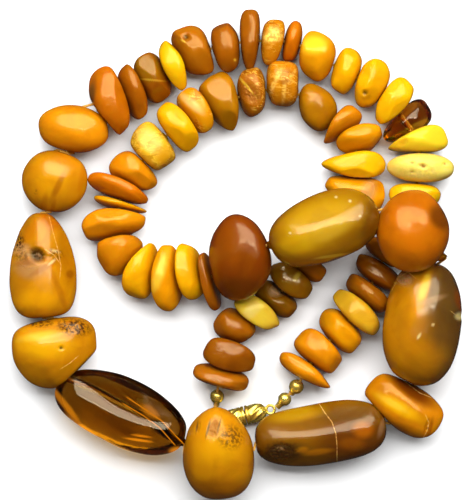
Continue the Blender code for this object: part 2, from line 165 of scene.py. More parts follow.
# The nuggets' truer forms: square to their own headings, and rounder than their plain solids
FORMS = {
    "nugget_olive": {"heading": 18, "thick": 27.2, "wide": 17.4, "left": 2.1, "right": 2.4, "tilt": 0.1},
    "nugget_orange": {"heading": 320, "thick": 18.9, "wide": 18.9, "left": 2.1, "right": 2.1},
    "nugget_two_tone": {"heading": 262, "thick": 29.4, "wide": 20.4, "left": 2.5, "right": 2.3},
    "nugget_banded": {"heading": 236, "thick": 12.8, "wide": 21.4, "left": 2.3, "right": 2.5},
    "nugget_khaki": {"heading": 189, "thick": 32.1, "wide": 14.5, "left": 2.6, "right": 2.9},
    "nugget_butterscotch": {"left": 2.5, "right": 1.7, "tilt": 0.0},
    "nugget_clear": {"heading": 151, "thick": 35.6, "wide": 17.8, "left": 2.3, "right": 2.2},
    "nugget_heart": {"heading": 98, "thick": 16.8, "bulge": 0.22, "tilt": 0.05},
    "nugget_tall": {"heading": 91, "thick": 26.8, "wide": 16.5, "left": 2.25, "right": 2.1, "bulge": -0.33},
    "nugget_scratched": {"heading": 84, "thick": 16.6, "left": 1.95, "right": 2.1, "bulge": 0.06},
    "nugget_smooth": {"heading": 82, "thick": 12.0, "wide": 15.6, "left": 2.0, "right": 2.0, "tilt": 0.0},
}
# A nugget that lies no higher than this is pressed softly back by the gap planes
RAISED = 11.0
PRESS = 0.25

# The names of the attributes that carry tones, wear, the painted glow of clear amber, and seams.
# A seam's width is in mm, its fade and reach in the picture's frame.
TONE_NAMES = ("main_tone", "deep_tone")
WEAR_AND_GLOW = ("dark", "pale", "rough", "glow")
SEAM_NAMES = ("seam_a", "seam_b")
SEAM_WIDTH, SEAM_FADE, SEAM_REACH = 0.17, 3, 14
# Where the painted shade towards the holes begins and how far it reaches, in radians of slope, and its share
ENDS_FROM, ENDS_REACH, ENDS_SHARE = 0.55, 0.75, 0.5
CLOUD_SHARE, SCRATCHES = 0.3, 0.2
AMBER_IOR = 1.54
GLOW_RADIUS, GLOW_DEPTH = (1.0, 0.35, 0.05), 1.6

# Flats ground on a bead: the way each faces, in degrees round from +X and up, its depth and softness
FLATS = {
    "bead_18": [(105, 60, 0.7, 0.1), (-95, 42, 1.1, 0.12), (20, 30, 0.6, 0.15)],
    "bead_20": [(60, 55, 0.5, 0.15), (-110, 48, 0.5, 0.2)],
    "bead_25": [(95, 52, 0.8, 0.15), (-100, 50, 0.5, 0.15)],
    "bead_22": [(70, 58, 0.5, 0.12), (-80, 50, 0.6, 0.12)],
    "bead_33": [(115, 60, 1.0, 0.08), (-65, 38, 1.1, 0.12)],
    "bead_11": [(15, 38, 1.1, 0.12), (120, 60, 0.5, 0.2)],
    "bead_43": [(120, 50, 0.6, 0.12), (-50, 50, 0.6, 0.15)],
    "bead_42": [(150, 55, 0.4, 0.15), (-60, 50, 0.5, 0.15)],
    "bead_40": [(100, 50, 0.9, 0.15), (-60, 45, 0.6, 0.2)],
    "bead_12": [(-90, 50, 0.7, 0.12)],
    "bead_31": [(10, 42, 0.8, 0.12), (170, 30, 0.5, 0.15)],
    "nugget_heart": [(100, 45, 0.9, 0.5), (-120, 40, 0.8, 0.5)],
    "nugget_tall": [(170, 50, 0.5, 0.5), (10, 35, 1.0, 0.35)],
    "nugget_khaki": [(-95, 35, 0.6, 0.4), (99, 44, 1.3, 0.5)],
    "nugget_olive": [(108, 50, 1.7, 0.7), (-72, 78, 0.5, 0.6)],
    "nugget_clear": [(61, 50, 2.4, 0.6)],
    "nugget_banded": [(48, 50, 0.7, 0.4)],
}

# Hollows and pits in the picture's frame: x, y, half length, half width, turn in degrees, depth
DENTS = {
    "nugget_tall": [(37, 255, 8, 6, -20, 1.1), (48, 258, 8, 3, -20, 0.25), (17, 241, 4, 7, 0, 0.3)],
    "nugget_heart": [(61, 348, 2.5, 2, 0, 0.4), (72, 328, 11, 4, -10, 0.15)],
    "nugget_butterscotch": [(214, 428, 10, 5, 75, 0.35), (198, 427, 5, 1.6, 80, 0.3)],
    "nugget_khaki": [(281, 452, 11, 7, 10, 0.5)],
    "nugget_two_tone": [(404, 279, 9, 6, -20, 0.6), (459, 316, 4, 4, 0, 0.4)],
    "nugget_banded": [(427, 428, 8, 2, 75, 0.5)],
    "nugget_orange": [(440, 222, 6, 8, 30, 0.2)],
    "bead_05": [(279, 290, 10, 6, 20, 0.5)],
    "bead_17": [(250, 93, 11, 7, -50, 0.8)],
    "bead_26": [(104, 235, 2.5, 2, 0, 0.5)],
    "bead_35": [(186, 37, 3.5, 3.5, 0, 0.7)],
    "bead_42": [(365, 93, 3, 2.5, 0, 0.6)],
    "bead_46": [(423, 166, 2.5, 3.5, 60, 0.5), (445, 164, 1.6, 1.6, 0, 0.3), (412, 163, 1.8, 1.8, 0, 0.25),
                (412, 172, 1.8, 1.6, 0, 0.25), (432, 171, 1.5, 1.5, 0, 0.2)],
    "bead_45": [(402, 142, 5, 4, 30, 0.2)],
}

# Marks in the picture's frame: a tone or a kind of wear, x, y, half length, half width, turn, strength. Some are
# painted light and shade: a lighter tone where a nugget's highlight falls, a deeper one along its lower edge.
MARKS = {
    "nugget_tall": [
        ("rust", 68, 262, 30, 6, -78, 0.35), ("tangerine", 50, 218, 12, 8, -60, 0.8),
        ("tangerine", 30, 232, 14, 5, 60, 0.45),
        ("saffron", 36, 300, 20, 9, 0, 0.5), ("ash", 30, 268, 14, 10, -10, 0.5),
        ("rust", 30, 262, 16, 3, 10, 0.5), ("ash", 22, 250, 9, 6, 0, 0.5),
        ("rough", 31, 258, 17, 12, 0, 0.6), ("rust", 44, 268, 16, 3, 30, 0.5), ("rust", 60, 292, 3, 20, 20, 0.4),
        ("dark", 17, 242, 7, 9, 0, 1.0), ("dark", 22, 256, 7, 5, 0, 0.6), ("dark", 56, 254, 7, 5, -20, 0.7),
        ("soot", 37, 255, 7.5, 6, -20, 0.95), ("moss", 39, 254, 3.5, 3, 0, 0.8),
        ("cream", 55, 251, 5, 1.3, -15, 0.8),
        ("cream", 52, 262, 5, 1.2, 40, 0.7), ("red_brown", 70, 274, 4, 4, 0, 0.6),
    ],
    "nugget_heart": [
        # Painted highlight and shade: the yolk and straw marks lighten the upper band where the highlight falls, and
        # the olive_gold marks deepen the lower edge.
        ("olive_gold", 52, 374, 34, 9, 20, 0.5), ("yolk", 46, 346, 26, 12, 0, 0.6),
        ("straw", 40, 336, 22, 4, 10, 0.5),
        ("dark", 74, 327, 16, 8, -10, 1.0), ("dark", 40, 323, 13, 4, 0, 0.9), ("umber", 74, 327, 15, 6, -10, 0.35),
        ("soot", 61, 348, 1.5, 1.3, 0, 0.9), ("olive_gold", 60, 372, 16, 3, 40, 0.5),
    ],
    "nugget_butterscotch": [
        # Painted shade and highlight: the nutmeg marks deepen the lower edge and left side, and the faint yolk patch
        # lightens the middle where the highlight falls.
        ("nutmeg", 220, 494, 40, 14, 0, 0.75), ("nutmeg", 186, 465, 7, 28, 0, 0.5),
        ("umber", 214, 428, 10, 5.2, 75, 0.85),
        ("rough", 214, 428, 10, 5.2, 75, 1.0),
        ("soot", 208, 429, 9, 1.1, 75, 0.85), ("soot", 219, 426, 9, 0.8, 75, 0.7),
        ("soot", 197, 427, 6, 1.2, 80, 0.8), ("dark", 231, 437, 12, 11, 0, 0.75),
        ("yolk", 218, 452, 22, 14, 0, 0.3),
    ],
    "nugget_khaki": [
        ("mahogany", 352, 440, 34, 24, 5, 0.95), ("smoke", 350, 414, 26, 9, 5, 0.6),
        ("bright_olive", 296, 414, 26, 7, 8, 0.5),
        ("soot", 284, 452, 22, 9, 5, 0.75), ("tangerine", 363, 430, 10, 8, 0, 0.55),
        ("rust", 352, 444, 12, 6, 0, 0.5),
        ("apricot", 318, 452, 14, 3, 8, 0.6), ("apricot", 302, 450, 6, 3, 10, 0.6),
        ("dark", 281, 452, 16, 10, 0, 0.9),
        ("rough", 281, 452, 13, 8, 0, 0.9), ("ash", 281, 448, 4, 2, 0, 0.5), ("ash", 383, 425, 12, 3, 70, 0.35),
    ],
    "nugget_olive": [
        # Painted light and shade: the bright_olive and straw patches lighten the middle where the highlight and inner
        # glow fall, the thin straw line at (333, 256) is a painted highlight on a facet's edge, and the umber and moss
        # marks deepen the lower edge and right end.
        ("moss", 370, 226, 26, 8, 80, 0.7), ("bright_olive", 318, 222, 40, 20, 22, 0.75),
        ("umber", 318, 262, 46, 5, 4, 0.5),
        ("straw", 328, 230, 24, 9, 22, 0.4), ("bright_olive", 296, 245, 22, 9, 10, 0.6),
        ("straw", 333, 256, 17, 1.4, 8, 0.5),
        ("cream", 350, 201, 1.3, 1.3, 0, 0.8), ("cream", 360, 216, 1.3, 1.1, 0, 0.7),
        ("cream", 290, 233, 1.3, 1.1, 0, 0.7),
        ("cream", 336, 197, 1.2, 1.2, 0, 0.7),
    ],
    "nugget_orange": [
        # Painted light and shade: the rust band deepens the lower edge and the tangerine patch lightens the upper
        # middle where the light falls; the chestnut patch is the nugget's own.
        ("chestnut", 440, 218, 10, 14, 40, 0.9), ("rust", 412, 266, 38, 12, 0, 0.5),
        ("tangerine", 400, 232, 26, 24, 0, 0.4),
    ],
    "nugget_two_tone": [
        ("smoke", 449, 294, 28, 27, 88, 1.0), ("smoke", 450, 340, 46, 20, 88, 0.85),
        ("golden", 402, 318, 42, 20, 80, 0.9),
        ("honey", 420, 296, 26, 6, 70, 0.8), ("straw", 424, 288, 13, 4, 72, 0.9),
        ("golden", 418, 358, 28, 18, 0, 0.55),
        ("ash", 404, 279, 9, 6, -20, 0.5), ("rough", 404, 279, 9, 6, -20, 0.9),
        ("red_brown", 461, 302, 12, 5, -70, 0.9),
        ("cream", 460, 316, 5, 3.6, 0, 0.9), ("ash", 432, 300, 14, 3, 18, 0.3),
        ("cream", 419, 336, 3.4, 1.2, 60, 0.9),
        ("cream", 433, 325, 1.4, 1.4, 0, 0.8),
    ],
    "nugget_banded": [
        ("red_brown", 411, 390, 26, 7, -37, 0.95), ("yolk", 398, 407, 26, 6, -30, 0.7),
        ("straw", 393, 404, 16, 3, -30, 0.5),
        ("umber", 430, 428, 10, 2.2, 75, 0.8), ("umber", 410, 430, 16, 4, -20, 0.4),
    ],
    "nugget_scratched": [
        # Painted highlight and shade: the saffron patch lightens the middle where the highlight falls, and the
        # olive_gold band deepens the lower edge.
        ("olive_gold", 54, 206, 30, 9, 0, 0.5), ("dark", 36, 192, 2, 2.4, 0, 0.5),
        ("saffron", 52, 180, 16, 14, 0, 0.4), ("orange", 70, 160, 14, 12, 0, 0.4),
        ("rust", 58, 186, 16, 3, 65, 0.6),
        ("rust", 44, 205, 12, 3, 80, 0.5), ("rust", 53, 207, 9, 2, 75, 0.5), ("sienna", 82, 178, 16, 3, 80, 0.4),
    ],
    # Painted shade: the rust band deepens the smooth nugget's lower edge.
    "nugget_smooth": [("rust", 72, 154, 32, 8, 0, 0.5)],
    # Painted light and shade: the chestnut mark deepens the lower edge, and the lighter rust marks lie where the
    # highlight falls.
    "nugget_red_brown": [("chestnut", 240, 290, 34, 12, 0, 0.6), ("rust", 232, 246, 14, 20, 0, 0.35),
                         ("rust", 250, 262, 5, 14, -20, 0.3)],
    "nugget_clear": [
        # Painted glow and glints on the clear nugget: an orange rim, a red-orange spot and yellow glints that give off
        # light.
        ("glow", 66, 406, 26, 3, -52, 0.5), ("glow", 84, 428, 20, 2.4, -38, 0.4), ("glow", 178, 451, 8, 4, 0, 0.8),
        ("glow", 138, 440, 13, 1.2, -8, 0.8), ("glow", 141, 436, 9, 1.0, -8, 0.7),
        ("glow", 150, 412, 10, 5, -37, 0.35),
    ],
    "bead_03": [("lemon", 256, 331, 1.2, 3, 0, 0.7)],
    "bead_04": [("cream", 252, 310, 9, 6, 45, 0.4)],
    "bead_05": [("ash", 279, 290, 9, 5, 20, 0.7), ("rough", 279, 290, 11, 7, 20, 1.0)],
    "bead_06": [("straw", 297, 276, 5, 2.4, 55, 0.8)],
    "bead_11": [("ash", 368, 192, 12, 7, 70, 0.5), ("rough", 368, 192, 12, 7, 70, 0.7)],
    "bead_16": [("pale", 275, 82, 15, 2.2, 65, 0.5), ("pale", 284, 92, 12, 1.8, 85, 0.5),
                ("pale", 292, 76, 8, 1.6, 60, 0.4)],
    "bead_17": [("umber", 250, 93, 11, 7, -50, 0.7), ("rough", 250, 93, 12, 8, -50, 1.0),
                ("straw", 245, 84, 12, 1.2, -50, 0.5)],
    "bead_19": [("cream", 192, 104, 14, 4, -40, 0.5)],
    "bead_21": [("cream", 148, 140, 15, 8, -45, 0.25), ("honey", 165, 160, 7, 6, -45, 0.7)],
    "bead_26": [("straw", 107, 233, 9, 2.2, 20, 0.7), ("soot", 104, 235, 1.8, 1.2, 0, 0.9)],
    "bead_28": [("straw", 160, 272, 20, 5, 70, 0.75), ("orange", 176, 280, 26, 6, 80, 0.5)],
    "bead_31": [("smoke", 91, 97, 14, 3.5, 82, 0.8)],
    # The thin straw line is partly a painted ridge highlight and partly the pale line between the olive top and the
    # rust lower part.
    "bead_33": [("olive", 143, 69, 22, 13, 10, 0.9), ("rust", 150, 92, 18, 10, 10, 0.8),
                ("straw", 152, 80, 13, 0.9, -5, 0.5)],
    "bead_35": [("soot", 186, 37, 2.4, 2.4, 0, 0.8), ("straw", 183, 41, 3, 1.0, -30, 0.6)],
    "bead_36": [("straw", 235, 60, 1.3, 1.3, 0, 0.8)],
    "bead_38": [("pale", 273, 36, 9, 6, 10, 0.9)],
    "bead_40": [("lemon", 314, 45, 12, 9, 0, 0.95), ("rust", 306, 84, 10, 7, 30, 0.4)],
    "bead_42": [("soot", 365, 93, 2.4, 1.6, 0, 0.8), ("umber", 366, 97, 5, 3, 0, 0.4)],
    "bead_45": [("rough", 402, 142, 6, 5, 30, 0.7), ("honey", 402, 142, 6, 4.5, 30, 0.4)],
    "bead_46": [("umber", 423, 166, 1.6, 2.6, 60, 0.9), ("umber", 445, 164, 1.1, 1.1, 0, 0.8),
                ("umber", 412, 163, 1.2, 1.2, 0, 0.7),
                ("umber", 412, 172, 1.2, 1.1, 0, 0.7), ("dark", 420, 170, 18, 8, 0, 0.18)],
    "bead_52": [("rust", 366, 300, 14, 7, -50, 0.4)],
}


# Healed cracks in the picture's frame: lines from point to point, at most two on a bead. On clear amber they also give
# off a painted orange glow.
SEAMS = {
    "nugget_khaki": [[(318, 402), (325, 413), (332, 422), (336, 434), (337, 446), (337, 460)]],
    "nugget_clear": [[(128, 398), (146, 410), (162, 421), (176, 436), (186, 446)], [(124, 404), (144, 416),
                     (160, 428), (174, 444)]],
    "nugget_banded": [[(426, 416), (429, 423), (427, 431), (423, 438)], [(396, 375), (408, 384), (420, 393),
                      (430, 397)]],
    "nugget_two_tone": [[(392, 290), (399, 277), (408, 272), (414, 277)], [(452, 312), (457, 316), (464, 319)]],
    "nugget_tall": [[(49, 216), (53, 232), (58, 250), (61, 266), (60, 276)], [(46, 250), (54, 255), (59, 262)]],
    "nugget_heart": [[(62, 368), (70, 363), (77, 357)]],
}


@dataclass
class Bead:
    """One bead, as its solid is described: its place, the thread's heading, its size and its form."""

    x: float
    y: float
    heading: float
    thick: float
    wide: float
    tall: float
    tone: str
    skin: str = "butterscotch"
    lap: float = 0.0
    left: float = 2.4
    right: float = 2.4
    bulge: float = 0.0
    tilt: float = 0.0
    roll: float = 0.0
    lift: float = 0.0
    gap: tuple = None
    turn: float = 0.0
    name: str = ""


# The beads from the left end of the strand to its right end
STRAND = [
    Bead(-3.5, -31.8, 73, 5.5, 13.5, 11.0, "nutmeg", "waxy", lap=14),
    Bead(-1.5, -26.8, 75, 6.5, 13.2, 11.5, "umber", "waxy", lap=-16, left=2.2, right=3.0),
    Bead(0.5, -18.2, 62, 8.0, 10.2, 9.6, "nutmeg", "waxy", lap=18, left=2.6, right=2.0),
    Bead(5.0, -16.0, 47, 5.3, 12.2, 10.0, "straw", lap=-18, left=2.6, right=2.8),
    Bead(10.0, -12.4, 48, 5.0, 11.5, 9.4, "khaki", "waxy", lap=18),
    Bead(14.0, -7.6, 52, 5.5, 12.4, 9.8, "olive", "misty", lap=-18, right=2.0),
    Bead(17.6, -3.8, 52, 5.0, 11.0, 8.8, "nutmeg", "waxy", right=2.9),
    Bead(21.2, 0.5, 54, 5.0, 9.0, 8.2, "rust", "waxy"),
    Bead(24.2, 4.8, 56, 5.0, 9.0, 8.0, "apricot"),
    Bead(27.2, 9.2, 63, 5.0, 9.4, 8.2, "rust", "waxy"),
    Bead(30.0, 14.4, 78, 7.5, 15.0, 10.2, "honey", lap=16, left=2.0, right=3.0, tilt=0.35),
    Bead(29.8, 21.7, 93, 6.0, 16.2, 10.6, "yolk", lap=-18, left=1.8, right=2.6, tilt=0.3),
    Bead(31.2, 28.1, 104, 7.5, 11.4, 10.4, "honey", lap=-16, left=2.6, right=1.7),
    Bead(26.4, 31.4, 136, 4.5, 13.0, 10.2, "apricot", lap=-18, left=1.9, right=2.1, roll=-18),
    Bead(20.8, 36.0, 160, 10.3, 10.2, 9.6, "olive_gold", "waxy", left=1.9, right=1.9),
    Bead(12.2, 41.3, 178, 8.0, 11.3, 10.4, "apricot", "crackled", left=2.8, right=2.3, roll=-20),
    Bead(4.2, 39.2, 190, 6.5, 11.2, 10.6, "nutmeg", "crackled", lap=10),
    Bead(-3.4, 37.0, 198, 8.2, 14.6, 11.0, "olive_gold", "waxy", lap=16, left=1.35, right=3.0),
    Bead(-9.7, 35.0, 218, 6.5, 11.8, 10.6, "honey", "crackled", lap=14, left=2.9),
    Bead(-14.2, 31.0, 218, 6.2, 13.4, 11.0, "saffron", left=2.7, right=2.5),
    Bead(-20.6, 25.9, 217, 7.4, 13.2, 11.0, "buff", "crackled", left=2.9, right=2.5),
    Bead(-25.4, 19.3, 237, 6.8, 12.7, 11.0, "orange", lap=16, left=2.3, right=2.7),
    Bead(-29.4, 15.1, 249, 5.6, 15.6, 11.4, "tangerine", lap=8, right=1.9),
    Bead(-28.6, 11.5, 256, 2.6, 13.6, 8.6, "saffron", lap=10),
    Bead(-30.4, 7.1, 262, 7.4, 15.8, 11.4, "orange", lap=18, left=2.7, right=1.9, tilt=-0.3),
    Bead(-28.3, -1.1, 302, 8.0, 12.0, 11.0, "apricot", lap=20, right=2.5),
    Bead(-23.8, -4.9, 342, 6.5, 14.4, 11.2, "saffron", lap=22),
    Bead(-17.0, -7.0, 4, 6.6, 16.2, 11.6, "honey", lap=22, right=2.0),
    Bead(-10.8, -5.4, 10, 6.4, 13.8, 11.6, "saffron", lap=18, left=2.8, right=2.6),
    Bead(-6.9, -7.6, 13, 3.5, 15.4, 10.6, "rust", "waxy", lap=14),
    Bead(1.0, -1.7, 20, 16.0, 20.2, 15.2, "red_brown", "waxy", left=2.0, right=2.3, lift=11.9,
         name="nugget_red_brown"),
    Bead(20.8, 5.4, 16, 27.0, 18.2, 16.6, "olive", "misty", right=2.1, tilt=0.35, lift=17.4, turn=-8,
         name="nugget_olive"),
    Bead(44.6, 4.0, 330, 18.8, 20.0, 16.4, "sienna", left=2.2, right=2.1, lift=17.4, turn=10,
         name="nugget_orange"),
    Bead(46.98, -19.0, 264, 29.2, 22.2, 18.8, "bronze", "misty", left=2.2, right=2.3, turn=-4,
         name="nugget_two_tone"),
    Bead(41.8, -38.6, 234, 12.4, 21.6, 12.0, "apricot", right=2.3, turn=11, name="nugget_banded"),
    Bead(21.0, -45.6, 187, 32.0, 14.6, 13.4, "khaki", "misty", left=2.7, right=3.2, tilt=-0.1,
         name="nugget_khaki"),
    Bead(-4.2, -50.4, 184, 18.0, 24.0, 16.2, "golden", left=2.9, right=1.9, tilt=0.15, roll=-27, lift=10.2,
         name="nugget_butterscotch"),
    Bead(-27.8, -39.8, 155, 35.6, 17.4, 15.0, "cognac", "clear", left=2.2, right=2.3, gap=(-43.2, -32.2),
         name="nugget_clear"),
    Bead(-44.4, -24.8, 106, 16.2, 22.2, 14.4, "golden", "waxy", right=2.3, bulge=0.15, tilt=0.15,
         name="nugget_heart"),
    Bead(-48.2, -3.9, 92, 26.6, 16.4, 14.0, "golden", "waxy", left=2.7, right=2.2, bulge=-0.25,
         name="nugget_tall"),
    Bead(-45.1, 17.6, 80, 16.6, 15.6, 13.0, "golden", "waxy", left=2.3, right=2.3, name="nugget_scratched"),
    Bead(-40.3, 29.5, 62, 12.4, 14.2, 12.2, "orange", left=2.3, right=2.3, tilt=-0.5, gap=(-34.2, 34.0),
         name="nugget_smooth"),
    Bead(-30.6, 37.6, 20, 7.0, 16.6, 12.0, "sienna", lap=-20, left=2.1, right=2.6, tilt=0.5),
    Bead(-25.6, 39.4, 28, 7.0, 13.2, 11.0, "rust", lap=-18, right=2.2, tilt=0.3),
    Bead(-21.0, 43.0, 30, 8.6, 12.4, 10.8, "umber", "waxy", lap=16, left=2.6),
    Bead(-15.3, 46.3, 24, 5.0, 12.6, 10.8, "yolk", lap=-18, right=2.3),
    Bead(-10.4, 49.8, 22, 9.4, 13.0, 11.2, "nutmeg", left=2.9, right=2.2, tilt=-0.45),
    Bead(-2.5, 50.9, 9, 7.2, 12.4, 11.0, "rust", left=2.0),
    Bead(4.0, 52.8, 0, 5.3, 14.8, 11.0, "rust", left=2.6, right=2.0),
    Bead(9.1, 52.0, 350, 6.0, 11.4, 10.0, "apricot", "crackled", lap=-6, left=2.6, right=1.8, roll=22),
    Bead(14.2, 52.6, 347, 3.8, 9.8, 8.6, "tangerine", lap=8, left=2.0, right=2.6),
    Bead(21.0, 48.3, 340, 8.0, 11.5, 11.0, "honey", lap=4, right=2.0),
    Bead(27.5, 44.9, 338, 6.2, 11.2, 10.4, "saffron", lap=6, right=2.0),
    Bead(34.4, 41.4, 332, 7.0, 12.0, 10.6, "saffron", lap=6, left=2.2, right=2.0, roll=18),
    Bead(39.7, 37.1, 320, 6.2, 12.6, 10.6, "yolk", lap=-12, left=2.9, right=2.2),
    Bead(43.0, 31.9, 314, 6.5, 14.0, 10.8, "cherry", "dark_clear", lap=14, left=2.9, right=2.0),
    Bead(45.6, 27.2, 284, 5.4, 15.2, 10.6, "lemon", lap=6, right=2.0),
    Bead(46.4, 20.5, 256, 7.2, 16.4, 10.6, "ivory", "porous", lap=-6, left=1.8, right=1.8),
    Bead(45.0, 13.6, 276, 6.5, 12.4, 9.0, "yolk"),
    Bead(43.6, 8.2, 250, 5.0, 9.0, 8.0, "apricot"),
    Bead(41.0, 3.8, 240, 5.0, 9.0, 8.0, "nutmeg"),
    Bead(37.8, -0.5, 238, 5.0, 10.8, 8.6, "nutmeg", "waxy"),
    Bead(35.9, -5.5, 234, 5.6, 12.6, 9.0, "rust", "waxy", lap=4),
    Bead(33.0, -11.0, 229, 5.0, 12.4, 11.0, "nutmeg", lap=14, left=2.6, right=2.8),
    Bead(30.6, -15.4, 229, 5.3, 14.4, 11.0, "buff", lap=-10, right=2.5),
    Bead(26.2, -20.3, 222, 6.7, 12.4, 11.0, "honey", lap=8, left=2.7, right=2.5),
    Bead(21.2, -25.3, 224, 7.0, 13.2, 11.0, "orange", lap=8, left=2.6, right=2.6),
    Bead(17.8, -30.3, 241, 4.5, 14.8, 10.4, "orange", left=1.9, right=2.1),
]
for count, unnamed in enumerate([bead for bead in STRAND if not bead.name], 1):
    unnamed.name = f"bead_{count:02}"

# Neighbours that are one solid: the first bead of each run, and how many
RUNS = {
    "bead_05": 2,
    "bead_08": 3,
    "bead_14": 2,
    "bead_16": 2,
    "bead_23": 2,
    "bead_29": 2,
    "bead_31": 2,
    "bead_36": 2,
    "bead_38": 2,
    "bead_48": 3,
    "bead_51": 2,
    "bead_55": 2,
}


@dataclass
class Plane:
    """A gap plane between two beads: its point on the thread, and its axes."""

    point: np.ndarray
    along: np.ndarray
    left: np.ndarray
    up: np.ndarray

    def moved(self, distance):
        return Plane(self.point + self.along * distance, self.along, self.left, self.up)

    def at(self, across, up):
        return self.point + across[..., None] * self.left + up[..., None] * self.up


def plane_at(point, heading, lean):
    turn, tilt = math.radians(heading), math.radians(lean)
    level = math.cos(tilt)
    along = np.array((math.cos(turn) * level, math.sin(turn) * level, math.sin(tilt)))
    left = np.array((-math.sin(turn), math.cos(turn), 0.0))
    return Plane(point, along, left, np.cross(along, left))


def centre_of(bead):
    return np.array((bead.x, bead.y, bead.lift or bead.tall / 2))


def gap_planes(strand):
    """The planes before, between and after the beads, one more than there are beads."""
    first, last = strand[0], strand[-1]
    planes = [plane_at(centre_of(first), first.heading, 0).moved(-first.thick / 2)]
    for bead, after in zip(strand, strand[1:]):
        share = bead.thick / (bead.thick + after.thick)
        point = centre_of(bead) * (1 - share) + centre_of(after) * share
        if bead.gap:
            point[:2] = bead.gap
        heading = bead.heading + ((after.heading - bead.heading + 180) % 360 - 180) / 2 + bead.turn
        planes.append(plane_at(point, heading, bead.lap))
    planes.append(plane_at(centre_of(last), last.heading, 0).moved(last.thick / 2))
    return planes


def eased(values, power):
    return np.sign(values) * np.abs(values) ** power


def unevenness(slope, turn, number):
    """The bead's large lumps, in the same places as on its plain solid."""
    found = np.empty(slope.shape)
    for place in np.ndindex(slope.shape):
        direction = Vector((math.sin(slope[place]), math.cos(turn[place]), math.sin(turn[place])))
        found[place] = noise.noise(direction * LUMP_SCALE + Vector((number, number * 0.37, 0)))
    return found


def held_by(number, planes):
    """The gap planes that press on a nugget level with its neighbour: -1 at its start, 1 at its end."""
    found = {}
    if STRAND[number].name.startswith("nugget"):
        for side, plane in ((-1, planes[number]), (1, planes[number + 1])):
            if max(STRAND[number].lift, STRAND[number + side].lift) < RAISED:
                found[side] = plane.moved(-side * GAP / 2)
    return found


def ends_of(form, number, planes):
    """The planes at a bead's two ends: its gap planes, or square to its own heading on a nugget."""
    if form.name not in FORMS:
        return planes[number].moved(GAP / 2), planes[number + 1].moved(-GAP / 2)
    own = plane_at(centre_of(form), form.heading, 0)
    held = held_by(number, planes)
    found = []
    for side in (-1, 1):
        end = own.moved(side * form.thick / 2)
        point = pressed(end.point, held[side], side) if side in held else end.point
        found.append(Plane(point, end.along, end.left, end.up))
    return found


def pressed(points, plane, side):
    """Points kept on their own side of a gap plane, softly: side is 1 at a bead's end and -1 at its start."""
    along = plane.along * side
    past = (points - plane.point) @ along
    kept = -PRESS * np.logaddexp(-past / PRESS, 0)
    return points + (kept - past)[..., None] * along


def body_grid(bead, number, start, end):
    """The outside of a bead as rings of points from hole to hole, and each point's slope."""
    big = bead.name.startswith("nugget")
    sides, rings = (NUGGET_SIDES, NUGGET_RINGS) if big else (BEAD_SIDES, BEAD_RINGS)
    turns = (np.arange(sides) + 0.5) * 2 * math.pi / sides
    slopes = np.radians(np.linspace(-LAST_SLOPE, LAST_SLOPE, rings))
    slope, turn = np.meshgrid(slopes, turns, indexing="ij")
    side = (1 + np.cos(turn)) / 2
    blunt = (bead.right + (bead.left - bead.right) * side) * (1 if big else FULLER)
    travel = eased(np.sin(slope), 2 / blunt)
    swell = np.cos(slope) ** (2 / blunt)
    travel = travel + (bead.bulge + bead.tilt * np.cos(turn)) * (1 - travel * travel)
    flat_across = bead.wide / 2 * eased(np.cos(turn), 2 / SECTION)
    flat_up = bead.tall / 2 * eased(np.sin(turn), 2 / SECTION)
    roll = math.radians(bead.roll)
    across = flat_across * math.cos(roll) - flat_up * math.sin(roll)
    up = flat_across * math.sin(roll) + flat_up * math.cos(roll)
    uneven = 1 + LUMP * unevenness(slope, turn, number)
    shift = centre_of(bead) - (start.point + end.point) / 2
    left = start.left + end.left
    offset = [shift @ (left / np.linalg.norm(left)), shift[2]]

    def points():
        side_way = swell * (across * uneven + offset[0])
        up_way = swell * (up * uneven + offset[1])
        share = ((travel + 1) / 2)[..., None]
        return start.at(side_way, up_way) * (1 - share) + end.at(side_way, up_way) * share

    if bead.lift:
        return points(), slope
    for _ in range(3):
        offset[1] -= points()[..., 2].min() + REST_FLAT
    grid = points()
    grid[..., 2] = np.maximum(grid[..., 2], 0)
    return grid, slope


def facing_way(azimuth, elevation):
    """The direction so many degrees round from +X and up."""
    turn, rise = math.radians(azimuth), math.radians(elevation)
    return np.array((math.cos(turn) * math.cos(rise), math.sin(turn) * math.cos(rise), math.sin(rise)))


def ground_flat(points, direction, depth, softness):
    """Points pressed back to a plane square to the direction, with a soft edge round the flat."""
    direction = direction / np.linalg.norm(direction)
    reach = points @ direction
    limit = reach.max() - depth
    kept = -softness * np.logaddexp(-reach / softness, -limit / softness)
    return points + (kept - reach)[..., None] * direction


def tumbled(points, bead, number, start, end):
    """The soft flats that tumbling leaves round a bead, and those that its row in FLATS adds."""
    draw = np.random.default_rng(SEED + number)
    along, left = start.along + end.along, start.left + end.left
    along, left = along / np.linalg.norm(along), left / np.linalg.norm(left)
    up = np.cross(along, left)
    big = bead.name.startswith("nugget")
    for _ in range(0 if bead.name in SMOOTH else NUGGET_FLATS if big else BEAD_FLATS):
        turn = draw.uniform(0, 2 * math.pi)
        lean = draw.normal(0, FLAT_LEAN)
        direction = along * math.sin(lean) + math.cos(lean) * (left * math.cos(turn) + up * math.sin(turn))
        depth = draw.uniform(*FLAT_DEPTHS) * min(bead.wide, bead.tall, bead.thick * 1.5)
        softness = draw.uniform(*FLAT_SOFTNESS) * (3 if big else 1)
        points = ground_flat(points, direction, depth, softness)
    for azimuth, elevation, depth, softness in FLATS.get(bead.name, ()):
        points = ground_flat(points, facing_way(azimuth, elevation), depth, softness)
    return points


